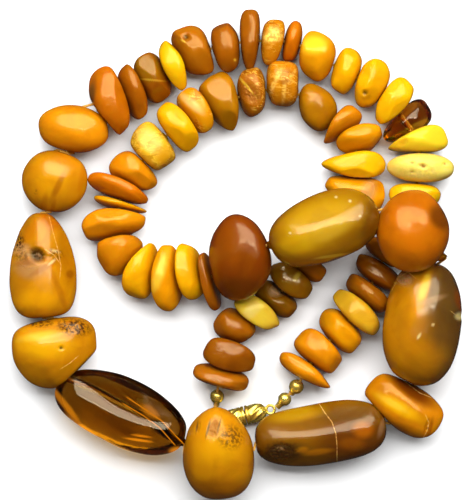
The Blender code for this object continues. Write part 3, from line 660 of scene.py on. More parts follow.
def normals_of(points):
    """The outward normals of a grid of rings that closes round its sides."""
    round_way = np.roll(points, -1, axis=1) - np.roll(points, 1, axis=1)
    long_way = np.gradient(points, axis=0)
    normals = np.cross(round_way, long_way)
    normals /= np.linalg.norm(normals, axis=-1, keepdims=True) + 1e-12
    centre = points.mean(axis=(0, 1))
    if ((points - centre) * normals).sum() < 0:
        normals = -normals
    return normals


def ripples(points, number, length, count=14):
    """A smooth wavy value from -1 to 1 over space: waves of about one length in all directions."""
    draw = np.random.default_rng(SEED * 3 + number)
    total = np.zeros(points.shape[:-1])
    for _ in range(count):
        way = draw.normal(size=3)
        way *= 2 * math.pi / (length * draw.uniform(0.6, 1.6) * np.linalg.norm(way))
        total += np.sin(points @ way + draw.uniform(0, 2 * math.pi))
    return total / math.sqrt(count) / 1.6


def on_picture(points):
    """Where points show in the picture's frame, x to the right and y down."""
    scale = PIXELS_PER_MM * (CAMERA_HEIGHT - SCALE_HEIGHT) / (CAMERA_HEIGHT - points[..., 2])
    across = FRAME_WIDTH / 2 + (points[..., 0] + MIDDLE[0]) * scale
    down = FRAME_HEIGHT / 2 - (points[..., 1] + MIDDLE[1]) * scale
    return across, down


def spot(points, normals, x, y, half_long, half_wide, angle, soft=0.5):
    """1 inside an ellipse on the upper side, seen in the picture's frame, falling to 0 outside."""
    across, down = on_picture(points)
    turn = math.radians(angle)
    long_way = (across - x) * math.cos(turn) - (down - y) * math.sin(turn)
    wide_way = (across - x) * math.sin(turn) + (down - y) * math.cos(turn)
    distance = np.sqrt((long_way / half_long) ** 2 + (wide_way / half_wide) ** 2)
    inside = np.clip((1 + soft - distance) / (2 * soft), 0, 1)
    facing = np.clip(normals[..., 2] * 4 + 0.5, 0, 1)
    return inside * inside * (3 - 2 * inside) * facing


def seam(points, normals, line):
    """Each point's distance to a line, left of it or right of it, in mm, and 1 along the line's own length."""
    across, down = on_picture(points)
    nearest, side, inside = np.full(across.shape, np.inf), np.zeros(across.shape), np.zeros(across.shape)
    for (x0, y0), (x1, y1) in zip(line, line[1:]):
        length = math.hypot(x1 - x0, y1 - y0)
        along = ((across - x0) * (x1 - x0) + (down - y0) * (y1 - y0)) / length
        away = ((across - x0) * (y1 - y0) - (down - y0) * (x1 - x0)) / length
        past = np.maximum(np.maximum(-along, along - length), 0)
        distance = np.hypot(away, past)
        closer = distance < nearest
        nearest, side = np.where(closer, distance, nearest), np.where(closer, away, side)
        inside = np.maximum(inside, np.clip(1 - past / SEAM_FADE, 0, 1) * (np.abs(away) < SEAM_REACH))
    facing = np.clip(normals[..., 2] * 3, 0, 1)
    return side / PIXELS_PER_MM, inside * facing


def finished(points, bead, number):
    """The fine form: a slight waviness, and the pits and lumps of its rows in DENTS."""
    normals = normals_of(points)
    length = NUGGET_WAVE if bead.name.startswith("nugget") else BEAD_WAVE
    wave = ripples(points, number, length) * length / 3 + ripples(points, number + 500, 1.1) / 5
    points = points + normals * (WAVE_HEIGHT * wave)[..., None]
    for *place, depth in DENTS.get(bead.name, ()):
        amount = spot(points, normals, *place)
        rough = 1 + 0.35 * ripples(points, number + 900, 0.7)
        points = points - normals * (amount * depth * rough)[..., None]
    return points


def masks_of(points, slope, bead):
    """How far each kind of wear and the painted glow show at each point, the two seams, and the painted shade towards
    the holes.
    """
    normals = normals_of(points)
    masks = {kind: np.zeros(slope.shape) for kind in WEAR_AND_GLOW}
    for kind, *place, strength in MARKS.get(bead.name, ()):
        if kind in WEAR_AND_GLOW:
            masks[kind] = np.maximum(masks[kind], spot(points, normals, *place) * strength)
    for name, line in zip(SEAM_NAMES, SEAMS.get(bead.name, []) + [None, None]):
        away, shown = seam(points, normals, line) if line else (np.ones(slope.shape), np.zeros(slope.shape))
        masks[name], masks[f"{name}_on"] = away, shown
    # Painted shade: the slopes towards the holes, where a bead meets its neighbours, take its deep tone.
    masks["ends"] = np.clip((np.abs(slope) - ENDS_FROM) / ENDS_REACH, 0, 1) ** 1.3
    return masks


def tones_of(points, bead):
    """The bead's main and deep tone at each point, with its painted marks laid over them."""
    normals = normals_of(points)
    light = 1 if "clear" in bead.skin else FULL_LIGHT
    tones = [np.ones((*points.shape[:-1], 4)) for _ in range(2)]
    for tone, colour in zip(tones, TONES[bead.tone]):
        tone[..., :3] = np.array(linear(colour)) / light
    for kind, *place, strength in MARKS.get(bead.name, ()):
        if kind in TONES:
            amount = (spot(points, normals, *place) * strength)[..., None]
            for tone, colour in zip(tones, TONES[kind]):
                tone[..., :3] += (np.array(linear(colour)) / light - tone[..., :3]) * amount
    return tones


def in_box(points, node):
    """The points of a node's beads, stretched to fill exactly the box of its solid."""
    low, high = (np.array(corner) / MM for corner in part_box(node))
    every = np.concatenate([grid.reshape(-1, 3) for grid in points])
    least, most = every.min(0), every.max(0)
    return [low + (grid - least) / (most - least) * (high - low) for grid in points]


def closed_faces(rings, sides, first):
    """Quads through rings of points, the last ring joined to the first."""
    ring = np.arange(rings)[:, None]
    side = np.arange(sides)[None, :]
    after, beside = (ring + 1) % rings, (side + 1) % sides
    quads = np.stack(np.broadcast_arrays(
        ring * sides + side, ring * sides + beside, after * sides + beside, after * sides + side), axis=-1)
    return quads.reshape(-1, 4) + first


def hole_ring(plane, sides):
    turns = (np.arange(sides) + 0.5) * 2 * math.pi / sides
    return plane.at(HOLE_RADIUS * np.cos(turns), HOLE_RADIUS * np.sin(turns))


def mesh_from(name, points, quads):
    mesh = bpy.data.meshes.new(name)
    mesh.vertices.add(len(points))
    mesh.vertices.foreach_set("co", (points * MM).astype(np.float32).ravel())
    mesh.loops.add(quads.size)
    mesh.loops.foreach_set("vertex_index", quads.astype(np.int32).ravel())
    mesh.polygons.add(len(quads))
    mesh.polygons.foreach_set("loop_start", np.arange(0, quads.size, 4, dtype=np.int32))
    mesh.update(calc_edges=True)
    mesh.validate()
    mesh.shade_smooth()
    return mesh


def put(name, mesh, slot, *nodes):
    piece = bpy.data.objects.new(name, mesh)
    bpy.context.scene.collection.objects.link(piece)
    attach(piece, "root")
    if nodes:
        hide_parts(*nodes)
    return piece


def linear(colour):
    """A colour as a screen shows it, 0 to 255, in the renderer's own units."""
    return [value / 255 / 12.92 if value < 10 else ((value / 255 + 0.055) / 1.055) ** 2.4 for value in colour]


def with_ends(values):
    """A grid's values with its first and last ring doubled, for the mouths of the hole."""
    return np.concatenate([values[:1], values, values[-1:]])


def make_run(run, first, planes, skins):
    """The piece for one node: a bead, or the beads of a run, each with its own skin and tone."""
    node_name = run[0].name if len(run) == 1 else f"beads_{run[0].name[-2:]}_{run[-1].name[-2:]}"
    shift = -np.array((*MIDDLE, 0.0))
    grids, slopes, holes = [], [], []
    for number, bead in enumerate(run, first):
        form = replace(bead, **FORMS.get(bead.name, {}))
        ends = ends_of(form, number, planes)
        grid, slope = body_grid(form, number, *ends)
        for side, plane in held_by(number, planes).items():
            grid = pressed(grid, plane, side)
        grids.append(tumbled(grid, bead, number, *ends) + shift)
        slopes.append(slope)
        holes.append([Plane(end.point + shift, end.along, end.left, end.up) for end in ends])
    points, quads, slots, attributes = [], [], [], {}
    for step, (bead, grid, slope, (start, end)) in enumerate(zip(run, in_box(grids, node_name), slopes, holes)):
        grid = finished(grid, bead, first + step)
        rings, sides = slope.shape
        faces = closed_faces(rings + 2, sides, sum(len(part) for part in points))
        every = np.concatenate([hole_ring(start, sides)[None], grid, hole_ring(end, sides)[None]])
        points.append(every.reshape(-1, 3))
        quads.append(faces)
        slots.append(np.full(len(faces), skins[bead.skin][0]))
        for name, mask in masks_of(grid, slope, bead).items():
            attributes.setdefault(name, []).append(with_ends(mask).ravel())
        for name, tone in zip(TONE_NAMES, tones_of(grid, bead)):
            attributes.setdefault(name, []).append(with_ends(tone).reshape(-1, 4))
    mesh = mesh_from(node_name, np.concatenate(points), np.concatenate(quads))
    used = sorted(set(np.concatenate(slots).tolist()))
    by_index = {index: material for index, material in skins.values()}
    for index in used:
        mesh.materials.append(by_index[index])
    mesh.polygons.foreach_set("material_index", np.searchsorted(used, np.concatenate(slots)).astype(np.int32))
    for name, parts in attributes.items():
        kind, field = ("FLOAT_COLOR", "color") if name in TONE_NAMES else ("FLOAT", "value")
        attribute = mesh.attributes.new(name, kind, "POINT")
        attribute.data.foreach_set(field, np.concatenate(parts).astype(np.float32).ravel())
    face_out(mesh)
    return put(f"{node_name}_tumbled", mesh, frame_slot(node_name), node_name)


def face_out(mesh):
    """Turns a closed mesh's faces outward."""
    bm = bmesh.new()
    bm.from_mesh(mesh)
    bmesh.ops.recalc_face_normals(bm, faces=bm.faces)
    bm.to_mesh(mesh)
    bm.free()


def frame_slot(node):
    for part in frame["record"]["subparts"]:
        if part["node"] == node:
            return part["material_slot"]
    return None


def new_group(name, inputs, outputs):
    """An empty shader group with named number inputs, and the given outputs."""
    group = bpy.data.node_groups.new(name, "ShaderNodeTree")
    for label, value in inputs.items():
        socket = group.interface.new_socket(label, in_out="INPUT", socket_type="NodeSocketFloat")
        socket.default_value = value
    for label in outputs:
        group.interface.new_socket(label, in_out="OUTPUT", socket_type="NodeSocketFloat")
    return group, group.nodes.new("NodeGroupInput"), group.nodes.new("NodeGroupOutput")


def node(tree, kind, settings=(), inputs=()):
    """A node with its settings, and its inputs by name or number: a value, or a socket to link."""
    made = tree.nodes.new(kind)
    for name, value in dict(settings).items():
        setattr(made, name, value)
    for name, value in dict(inputs).items():
        if isinstance(value, bpy.types.NodeSocket):
            tree.links.new(value, made.inputs[name])
        else:
            made.inputs[name].default_value = value
    return made


def maths(tree, operation, first, second=0.5, clamp=False):
    made = node(tree, "ShaderNodeMath", {"operation": operation, "use_clamp": clamp}, {0: first, 1: second})
    return made.outputs[0]


def times(tree, first, second, clamp=False):
    return maths(tree, "MULTIPLY", first, second, clamp)


def plus(tree, first, second, clamp=False):
    return maths(tree, "ADD", first, second, clamp)


def less(tree, first, second, clamp=False):
    return maths(tree, "SUBTRACT", first, second, clamp)


def from_middle(tree, value):
    """How far a value is from a half."""
    return maths(tree, "ABSOLUTE", less(tree, value, 0.5))


def noise_over(tree, place, scale, detail, **more):
    """Noise over space, from 0 to 1."""
    inputs = {"Vector": place, "Scale": scale, "Detail": detail, **more}
    return node(tree, "ShaderNodeTexNoise", {}, inputs).outputs["Fac"]


def tint(*colour):
    return (*linear(colour), 1)


def new_material(name, inputs):
    """A material whose shader has these plain inputs, with its node tree and its shader."""
    material = bpy.data.materials.new(name)
    material.use_nodes = True
    tree = material.node_tree
    shader = tree.nodes["Principled BSDF"]
    for label, value in inputs.items():
        shader.inputs[label].default_value = value
    return material, tree, shader


def raise_by(tree, shader, height, strength, distance):
    """Gives a shader a bump of this height."""
    inputs = {"Height": height, "Strength": strength, "Distance": distance * MM}
    tree.links.new(node(tree, "ShaderNodeBump", {}, inputs).outputs[0], shader.inputs["Normal"])


def ramp(tree, value, low, high):
    """0 below low and 1 above high, smoothly."""
    made = node(tree, "ShaderNodeMapRange", {"interpolation_type": "SMOOTHSTEP"},
                {"Value": value, "From Min": low, "From Max": high})
    return made.outputs[0]


def mixed(tree, share, first, second):
    made = node(tree, "ShaderNodeMix", {"data_type": "RGBA", "blend_type": "MIX"}, {0: share, 6: first, 7: second})
    return made.outputs[2]


def vector(tree, operation, first, second=(0, 0, 0), **more):
    made = node(tree, "ShaderNodeVectorMath", {"operation": operation}, {0: first, 1: second, **more})
    return made.outputs[0]


def mapped(tree, place, rotation, scale):
    """A place turned and stretched."""
    inputs = {"Vector": place, "Rotation": rotation, "Scale": scale}
    return node(tree, "ShaderNodeMapping", {}, inputs).outputs[0]


def place_of(tree):
    return node(tree, "ShaderNodeTexCoord").outputs["Object"]


def clouds_group():
    """Milky swirls in amber: warped, banded noise."""
    group, given, put_out = new_group("amber_clouds", {"Scale": 160.0}, ["Mask"])
    place = place_of(group)
    warp = node(group, "ShaderNodeTexNoise", {}, {"Vector": place, "Scale": 90.0, "Detail": 2.0})
    amount = vector(group, "SCALE", warp.outputs["Color"], Scale=0.006)
    moved = vector(group, "ADD", place, amount)
    cloud = noise_over(group, moved, given.outputs["Scale"], 4.0, Roughness=0.55, Distortion=0.4)
    group.links.new(ramp(group, cloud, 0.42, 0.62), put_out.inputs["Mask"])
    return group


def crazing_group():
    """Healed cracks in amber: thin wavy streaks and small flakes that catch the light, and deeper bands."""
    inputs = {"Scale": 260.0, "Width": 0.02, "Cover": 0.5}
    group, given, put_out = new_group("amber_crazing", inputs, ["Mask", "Band"])
    place = place_of(group)
    turned = mapped(group, place, (0.4, 0.2, 0.9), (1.0, 2.4, 1.5))
    waves = noise_over(group, turned, given.outputs["Scale"], 3.0, Distortion=0.8)
    thin = maths(group, "DIVIDE", from_middle(group, waves), given.outputs["Width"])
    streak = less(group, 1.0, thin, True)
    flake = times(group, ramp(group, noise_over(group, turned, 620.0, 2.0), 0.56, 0.66), 0.7)
    patchy = noise_over(group, place, 190.0, 1.0)
    shown = ramp(group, plus(group, less(group, patchy, 0.5), given.outputs["Cover"]), 0.4, 0.65)
    both = maths(group, "MAXIMUM", streak, flake)
    group.links.new(times(group, both, shown), put_out.inputs["Mask"])
    group.links.new(times(group, ramp(group, waves, 0.5, 0.6), shown), put_out.inputs["Band"])
    return group


def wear_group():
    """The skin of a tumbled bead: small dings, hair scratches and a faint grain, as one height."""
    group, given, put_out = new_group("tumbled_skin", {"Scratches": 0.3, "Grain": 0.5}, ["Height", "Mask"])
    place = place_of(group)
    hair = noise_over(group, mapped(group, place, (0.5, 0.3, 0.7), (1.0, 9.0, 4.0)), 420.0, 4.0)
    scratch = times(group, ramp(group, from_middle(group, hair), 0.02, 0.0), given.outputs["Scratches"])
    grain = times(group, noise_over(group, place, 1500.0, 3.0), given.outputs["Grain"])
    swell = times(group, noise_over(group, place, 330.0, 2.0), 1.2)
    group.links.new(less(group, plus(group, grain, swell), scratch), put_out.inputs["Height"])
    group.links.new(scratch, put_out.inputs["Mask"])
    return group


def attribute(tree, name, socket="Fac"):
    return node(tree, "ShaderNodeAttribute", {"attribute_name": name}).outputs[socket]


def amber(name, groups, roughness=0.13, subsurface=0.5, transmission=0.0, coat=0.0, cloud_scale=120.0,
          crazing=0.0, bump=0.18, absorb=None, porous=0.0, shine=OPAQUE_SHINE):
    """One finish of amber. The bead's own two tones and its marks come with its mesh."""
    material, tree, shader = new_material(name, {
        "IOR": AMBER_IOR, "Specular Tint": (*shine, 1), "Subsurface Weight": subsurface,
        "Subsurface Radius": GLOW_RADIUS, "Subsurface Scale": GLOW_DEPTH * MM,
        "Transmission Weight": transmission, "Coat Weight": coat, "Coat Roughness": 0.06})
    kinds = {kind: attribute(tree, kind) for kind in (*WEAR_AND_GLOW, "ends")}
    place = place_of(tree)
    main, deep = (attribute(tree, tone, "Color") for tone in TONE_NAMES)
    clouds = node(tree, "ShaderNodeGroup", {"node_tree": groups["clouds"]}, {"Scale": cloud_scale})
    skin = node(tree, "ShaderNodeGroup", {"node_tree": groups["skin"]}, {"Scratches": SCRATCHES})
    broken = ramp(tree, noise_over(tree, place, 1400.0, 5.0), 0.42, 0.58)

    def patchy(share, least):
        return plus(tree, times(tree, broken, share), least)

    # The deep tone comes through the clouds and, as painted shade, towards the holes.
    shade = plus(tree, times(tree, clouds.outputs["Mask"], CLOUD_SHARE), times(tree, kinds["ends"], ENDS_SHARE), True)
    colour = mixed(tree, shade, main, deep)
    colour = mixed(tree, times(tree, kinds["pale"], patchy(0.6, 0.4), True), colour, tint(252, 214, 100))
    colour = mixed(tree, times(tree, kinds["dark"], patchy(0.9, 0.1), True), colour, tint(66, 36, 8))
    if crazing:
        net = node(tree, "ShaderNodeGroup", {"node_tree": groups["crazing"]}, {"Cover": crazing})
        colour = mixed(tree, times(tree, net.outputs["Band"], 0.7), colour, deep)
        colour = mixed(tree, times(tree, net.outputs["Mask"], 0.6), colour, tint(252, 208, 84))
    lines = []
    for seam_name in SEAM_NAMES:
        away = maths(tree, "ABSOLUTE", attribute(tree, seam_name))
        near = ramp(tree, away, SEAM_WIDTH, SEAM_WIDTH * 0.35)
        lines.append(times(tree, near, attribute(tree, f"{seam_name}_on")))
    line = maths(tree, "MAXIMUM", *lines)
    colour = mixed(tree, times(tree, line, patchy(0.4, 0.25)), colour, tint(236, 184, 96))
    tree.links.new(colour, shader.inputs["Base Color"])
    height = less(tree, skin.outputs["Height"], times(tree, kinds["rough"], times(tree, broken, 2.0)))
    if porous:
        holes = node(tree, "ShaderNodeTexVoronoi", {}, {"Vector": place, "Scale": 700.0, "Randomness": 1.0})
        height = plus(tree, height, times(tree, ramp(tree, holes.outputs["Distance"], 0.12, 0.3), porous))
    raise_by(tree, shader, height, bump, 0.3)
    worn = plus(tree, times(tree, skin.outputs["Mask"], 0.2), roughness)
    tree.links.new(plus(tree, times(tree, kinds["rough"], 0.3), worn, True), shader.inputs["Roughness"])
    if absorb:
        colour, density = absorb
        medium = node(tree, "ShaderNodeVolumeAbsorption", {}, {"Color": (*colour, 1), "Density": density})
        tree.links.new(medium.outputs[0], tree.nodes["Material Output"].inputs["Volume"])
        # Painted glow: on clear amber the glow marks and the healed cracks give off a soft orange light, standing in
        # for light caught inside.
        spark = maths(tree, "MAXIMUM", kinds["glow"], times(tree, line, 0.9))
        tree.links.new(mixed(tree, spark, (0, 0, 0, 1), tint(255, 150, 14)), shader.inputs["Emission Color"])
        shader.inputs["Emission Strength"].default_value = 0.8
    return material


def brass():
    """Worn polished brass: fine wiping marks and a little tarnish."""
    material, tree, shader = new_material("polished_brass", {"Metallic": 0.85})
    tarnish = noise_over(tree, place_of(tree), 500.0, 3.0)
    shade = ramp(tree, tarnish, 0.42, 0.66)
    tree.links.new(mixed(tree, shade, tint(252, 228, 106), tint(206, 166, 62)), shader.inputs["Base Color"])
    tree.links.new(plus(tree, times(tree, shade, 0.14), 0.24), shader.inputs["Roughness"])
    raise_by(tree, shader, tarnish, 0.12, 0.2)
    return material


def waxed_thread():
    """Waxed brown thread, its fibres lighter and darker at random."""
    material, tree, shader = new_material("waxed_thread", {"Roughness": 0.65})
    fibres = noise_over(tree, place_of(tree), 2500.0, 3.0)
    tree.links.new(mixed(tree, fibres, tint(170, 116, 34), tint(226, 172, 72)), shader.inputs["Base Color"])
    raise_by(tree, shader, fibres, 0.5, 0.1)
    return material


def plane_towards(point, target):
    """The plane through a point, at right angles to the line to its target."""
    along = (target - point) / np.linalg.norm(target - point)
    left = np.array((-along[1], along[0], 0.0)) / math.hypot(along[0], along[1])
    return Plane(point, along, left, np.cross(along, left))


def turned_points(profile, plane, sides, flutes=0, twist=0.0, depth=0.0):
    """A closed profile of (radius, height, share of the flutes) turned round the plane's axis."""
    turns = np.arange(sides) * 2 * math.pi / sides
    rings = []
    for radius, height, share in profile:
        around = radius - depth * share * np.abs(np.sin(flutes / 2 * (turns + twist * height)))
        rings.append(plane.moved(height).at(around * np.cos(turns), around * np.sin(turns)))
    return np.stack(rings)


def torus_points(centre, axis, across, radius, wire, steps=48, sides=16):
    """A ring of round wire: its middle line turns in the plane of axis and across."""
    turns, rounds = np.meshgrid(
        np.arange(steps) * 2 * math.pi / steps, np.arange(sides) * 2 * math.pi / sides, indexing="ij")
    out = np.cos(turns)[..., None] * axis + np.sin(turns)[..., None] * across
    up = np.cross(axis, across)
    return centre + out * (radius + wire * np.cos(rounds))[..., None] + up * (wire * np.sin(rounds))[..., None]


def brass_piece(name, slot, grids, metal, *nodes):
    """One piece of turned or bent brass, from closed grids of points."""
    points, quads = [], []
    for grid in grids:
        quads.append(closed_faces(grid.shape[0], grid.shape[1], sum(len(part) for part in points)))
        points.append((grid - np.array((*MIDDLE, 0.0))).reshape(-1, 3))
    mesh = mesh_from(name, np.concatenate(points), np.concatenate(quads))
    mesh.materials.append(metal)
    face_out(mesh)
    return put(name, mesh, slot, *nodes)


def ball_profile(radius, collar):
    """A drilled ball with a small crimped collar on the side away from its bead."""
    edge = math.acos(BALL_HOLE / radius)
    profile = []
    for slope in np.linspace(-edge, edge, BALL_STEPS):
        profile.append((radius * math.cos(slope), radius * math.sin(slope), 0))
    foot = -radius * math.sin(edge)
    if collar:
        rim = [(COLLAR - 0.22, foot - collar, 0), (COLLAR - 0.06, foot - collar, 0), (COLLAR, foot - collar + 0.08, 0),
               (COLLAR - 0.02, foot - collar / 2, 0), (COLLAR + 0.1, foot + 0.05, 0)]
        profile = rim + [row for row in profile if row[0] > COLLAR + 0.12 or row[1] > 0]
    return profile


def make_balls(planes, metal):
    targets = {"ball_left": planes[0].point, "ball_right_a": planes[-1].point, "ball_right_b": BALLS["ball_right_a"][0]}
    for name, (centre, size, collar) in BALLS.items():
        plane = plane_towards(np.array(centre), np.array(targets[name]))
        grid = turned_points(ball_profile(size / 2, collar), plane, BALL_SIDES)
        brass_piece(f"{name}_polished", frame_slot(name), [grid], metal, name)


def barrel_profile(inner):
    """Half of the barrel from its seam outward: a rolled lip, a neck, the fluted belly and the domed end."""
    radius, length = CLASP_RADIUS, CLASP_HALF
    belly = []
    for share in np.linspace(0, 1, 26):
        height = 1.15 + (length - 1.15) * share
        bulge = radius * (1 - 0.1 * (share - 0.25) ** 2 * 4 - 0.62 * max(0, share - 0.62) ** 2 / 0.1444)
        belly.append((max(bulge, 0.55), height, math.sin(math.pi * min(1, share * 1.08)) ** 0.5 if share < 0.92 else 0))
    lip = [(radius - 0.1, CLASP_SEAM, 0), (radius, CLASP_SEAM + 0.1, 0), (radius + 0.02, 0.45, 0), (radius, 0.75, 0),
           (radius - 0.1, 0.86, 0), (radius - 0.26, 0.92, 0), (radius - 0.28, 1.04, 0), (radius - 0.2, 1.12, 0)]
    end = [(0.5, length + 0.05, 0), (0.2, length + 0.1, 0), (0.02, length + 0.1, 0)]
    return inner + lip + belly + end


def make_clasp(metal):
    """The barrel clasp, screwed shut, with an eye of bent wire at each end."""
    stud = [(0.02, -STUD_LENGTH, 0), (STUD_RADIUS - 0.1, -STUD_LENGTH, 0), (STUD_RADIUS, -STUD_LENGTH + 0.12, 0)]
    stud += [(STUD_RADIUS - 0.08 * (step % 2), -STUD_LENGTH + 0.3 + step * 0.16, 0) for step in range(14)]
    stud += [(STUD_RADIUS, CLASP_SEAM, 0)]
    bore = [(0.02, BORE_DEPTH, 0), (BORE_RADIUS, BORE_DEPTH, 0), (BORE_RADIUS, CLASP_SEAM, 0)]
    centre = np.array((*CLASP_CENTRE, CLASP_RADIUS))
    for name, inner, side in (("clasp_stud_half", stud, 1), ("clasp_bore_half", bore, -1)):
        plane = plane_at(centre, CLASP_HEADING + (0 if side > 0 else 180), 0)
        barrel = turned_points(barrel_profile(inner), plane, CLASP_SIDES, FLUTES, FLUTE_TWIST, FLUTE_DEPTH)
        eye_centre = centre + plane.along * (CLASP_HALF + EYE_RADIUS - EYE_WIRE / 2)
        eye = torus_points(eye_centre, plane.along, plane.left, EYE_RADIUS, EYE_WIRE)
        brass_piece(f"{name}_turned", frame_slot(name), [barrel, eye], metal, name)


def thread_route(planes):
    """The thread's points from eye to eye, and how much it swells at each: it has a knot at its left end."""
    heading = math.radians(CLASP_HEADING)
    reach = CLASP_HALF + 2 * EYE_RADIUS + EYE_WIRE + GAP
    along = np.array((math.cos(heading), math.sin(heading), 0)) * reach
    centre = np.array((*CLASP_CENTRE, CLASP_RADIUS))
    from_left = centre - along + np.array((0.2, 1.4, 0))
    from_right = centre + along + np.array((0.3, 0.9, 0))
    left, right_a, right_b = (np.array(BALLS[name][0]) for name in ("ball_left", "ball_right_a", "ball_right_b"))
    route = [(from_left, 1), ((from_left * 3 + left) / 4, 1), ((from_left + left) / 2, KNOT_SWELL),
             ((from_left + left * 3) / 4, 1)]
    route += [(left, 1)] + [(point, 1) for point in mouths(planes)] + [(right_a, 1), (right_b, 1), (from_right, 1)]
    return route


def mouths(planes):
    """Where the thread passes from bead to bead, and in and out at a nugget's own ends."""
    points = [planes[0].point]
    for number, bead in enumerate(STRAND):
        form = replace(bead, **FORMS.get(bead.name, {}))
        if bead.name in FORMS:
            points.pop()
            points += [end.point for end in ends_of(form, number, planes)]
            points.append(points[-1])
        else:
            points.append(planes[number + 1].point)
    return points


def cord_group(material):
    """Strands laid round a curve: how many, how thick, how far from its middle and how long a turn is."""
    group = bpy.data.node_groups.new("twisted_cord", "GeometryNodeTree")
    group.interface.new_socket("Geometry", in_out="INPUT", socket_type="NodeSocketGeometry")
    for label, kind, value in (("Strands", "NodeSocketInt", 3), ("Strand Radius", "NodeSocketFloat", 0.00018),
                               ("Offset", "NodeSocketFloat", 0.00017), ("Turn", "NodeSocketFloat", 0.0014),
                               ("Spacing", "NodeSocketFloat", 0.00018)):
        group.interface.new_socket(label, in_out="INPUT", socket_type=kind).default_value = value
    group.interface.new_socket("Geometry", in_out="OUTPUT", socket_type="NodeSocketGeometry")
    given, put_out = group.nodes.new("NodeGroupInput"), group.nodes.new("NodeGroupOutput")
    even = node(group, "GeometryNodeResampleCurve", {"mode": "LENGTH"},
                {"Curve": given.outputs["Geometry"], "Length": given.outputs["Spacing"]})
    copies = node(group, "GeometryNodeDuplicateElements", {"domain": "SPLINE"},
                  {"Geometry": even.outputs["Curve"], "Amount": given.outputs["Strands"]})
    share = maths(group, "DIVIDE", copies.outputs["Duplicate Index"], given.outputs["Strands"])
    length = node(group, "GeometryNodeSplineParameter").outputs["Length"]
    turns = plus(group, share, maths(group, "DIVIDE", length, given.outputs["Turn"]))
    angle = times(group, turns, 2 * math.pi)
    normal = node(group, "GeometryNodeInputNormal").outputs[0]
    tangent = node(group, "GeometryNodeInputTangent").outputs[0]
    beside = vector(group, "CROSS_PRODUCT", normal, tangent)
    reach = times(group, given.outputs["Offset"], node(group, "GeometryNodeInputRadius").outputs[0])
    across, up = (vector(group, "SCALE", direction, Scale=times(group, maths(group, wave, angle), reach))
                  for direction, wave in ((normal, "COSINE"), (beside, "SINE")))
    offset = vector(group, "ADD", across, up)
    laid = node(group, "GeometryNodeSetPosition", {}, {"Geometry": copies.outputs["Geometry"], "Offset": offset})
    ring = node(group, "GeometryNodeCurvePrimitiveCircle", {}, {"Resolution": 6, "Radius": given.outputs["Strand Radius"]})
    skin = node(group, "GeometryNodeCurveToMesh", {}, {
        "Curve": laid.outputs["Geometry"], "Profile Curve": ring.outputs["Curve"], "Fill Caps": True})
    smooth = node(group, "GeometryNodeSetShadeSmooth", {}, {"Geometry": skin.outputs["Mesh"]})
    whole = node(group, "GeometryNodeRealizeInstances", {}, {"Geometry": smooth.outputs["Geometry"]})
    clad = node(group, "GeometryNodeSetMaterial", {}, {"Geometry": whole.outputs["Geometry"], "Material": material})
    group.links.new(clad.outputs["Geometry"], put_out.inputs["Geometry"])
    return group


def make_thread(planes, material):
    route = thread_route(planes)
    curve = bpy.data.curves.new("thread_path", "CURVE")
    curve.dimensions = "3D"
    spline = curve.splines.new("POLY")
    spline.points.add(len(route) - 1)
    for point, (place, swell) in zip(spline.points, route):
        point.co = (*((place - np.array((*MIDDLE, 0.0))) * MM), 1)
        point.radius = swell
    path = bpy.data.objects.new("thread_path", curve)
    bpy.context.scene.collection.objects.link(path)
    cord = path.modifiers.new("cord", "NODES")
    cord.node_group = cord_group(material)
    settings = {"Strands": 3, "Strand Radius": 0.19 * MM, "Offset": 0.17 * MM, "Turn": 1.5 * MM, "Spacing": 0.19 * MM}
    for item in cord.node_group.interface.items_tree:
        if item.in_out == "INPUT" and item.name in settings:
            cord[item.identifier] = settings[item.name]
    mesh = bpy.data.meshes.new_from_object(path.evaluated_get(bpy.context.evaluated_depsgraph_get()))
    mesh.name = "thread_twisted"
    path.modifiers.remove(cord)
    bpy.data.objects.remove(path, do_unlink=True)
    if not mesh.materials:
        mesh.materials.append(material)
    return put("thread_twisted", mesh, frame_slot("thread"), "thread")


def make_floor():
    bpy.ops.mesh.primitive_plane_add(size=FLOOR_SIZE, location=(0, 0, -FLOOR_DROP * MM))
    floor = bpy.context.object
    floor.name = "floor"
    material, tree, shader = new_material("pale_floor", {"Roughness": 0.9, "Specular IOR Level": 0.1})
    mottle = noise_over(tree, place_of(tree), 6.0, 2.0)
    colour = mixed(tree, mottle, (0.94, 0.94, 0.94, 1), (0.96, 0.96, 0.96, 1))
    tree.links.new(colour, shader.inputs["Base Color"])
    floor.data.materials.append(material)
    floor.visible_glossy = False
    floor.visible_diffuse = False


def add_light(name, bearing, distance, size, radiance, shows):
    """A soft rectangular light that looks at the coil. bearing is its direction: round from +X, and up."""
    direction = Vector(facing_way(*bearing))
    data = bpy.data.lights.new(name, "AREA")
    data.shape = "RECTANGLE"
    data.size, data.size_y = size
    data.energy = radiance * math.pi * size[0] * size[1]
    lamp = bpy.data.objects.new(name, data)
    lamp.location = direction * distance
    lamp.rotation_euler = (-direction).to_track_quat("-Z", "Y").to_euler()
    lamp.visible_glossy = shows
    bpy.context.scene.collection.objects.link(lamp)


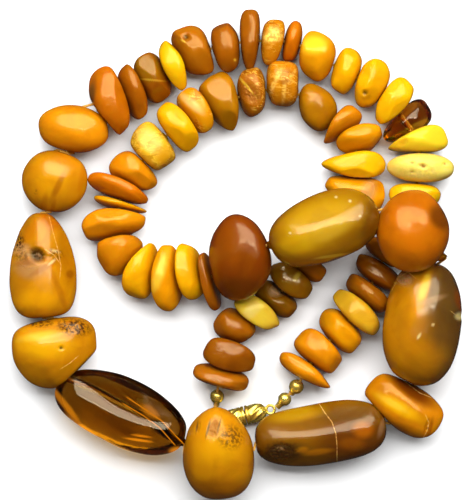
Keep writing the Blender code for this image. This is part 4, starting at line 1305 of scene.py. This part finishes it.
def make_studio():
    for light in LIGHTS:
        add_light(*light)
    world = bpy.data.worlds.new("studio")
    bpy.context.scene.world = world
    world.use_nodes = True
    background = world.node_tree.nodes["Background"]
    background.inputs["Color"].default_value = (1, 1, 1, 1)
    background.inputs["Strength"].default_value = SKY
    bpy.context.scene.view_settings.view_transform = "Standard"


def make_camera():
    data = bpy.data.cameras.new("camera")
    distance = CAMERA_HEIGHT - SCALE_HEIGHT
    data.sensor_width = 36.0
    data.lens = 36.0 * distance * PIXELS_PER_MM / FRAME_HEIGHT
    data.clip_start, data.clip_end = 0.05, 10.0
    camera = bpy.data.objects.new("camera", data)
    camera.location = (-MIDDLE[0] * MM, -MIDDLE[1] * MM, CAMERA_HEIGHT * MM)
    bpy.context.scene.collection.objects.link(camera)
    bpy.context.scene.camera = camera


def make_all():
    make_camera()
    groups = {"clouds": clouds_group(), "crazing": crazing_group(), "skin": wear_group()}
    finishes = {
        "butterscotch": {},
        "waxy": {"subsurface": 0.6, "transmission": 0.05, "shine": MISTY_SHINE},
        "misty": {"roughness": 0.10, "subsurface": 0.6, "transmission": 0.12, "coat": 0.15, "cloud_scale": 80.0,
                  "shine": MISTY_SHINE},
        "crackled": {"roughness": 0.2, "crazing": 0.52, "bump": 0.25},
        "porous": {"roughness": 0.3, "porous": 0.4},
        "clear": {"roughness": 0.06, "subsurface": 0.0, "transmission": 1.0, "coat": 0.2, "bump": 0.02,
                  "absorb": ((0.827, 0.742, 0.30), 430.0), "shine": MISTY_SHINE},
        "dark_clear": {"roughness": 0.08, "subsurface": 0.0, "transmission": 1.0, "coat": 0.2, "bump": 0.03,
                       "absorb": ((0.847, 0.717, 0.133), 440.0), "shine": MISTY_SHINE},
    }
    skins = {name: (index, amber(f"{name}_amber", groups, **finish))
             for index, (name, finish) in enumerate(finishes.items())}
    planes = gap_planes(STRAND)
    first = 0
    while first < len(STRAND):
        length = RUNS.get(STRAND[first].name, 1)
        make_run(STRAND[first:first + length], first, planes, skins)
        first += length
    metal = brass()
    make_balls(planes, metal)
    make_clasp(metal)
    make_thread(planes, waxed_thread())
    make_floor()
    make_studio()


make_all()
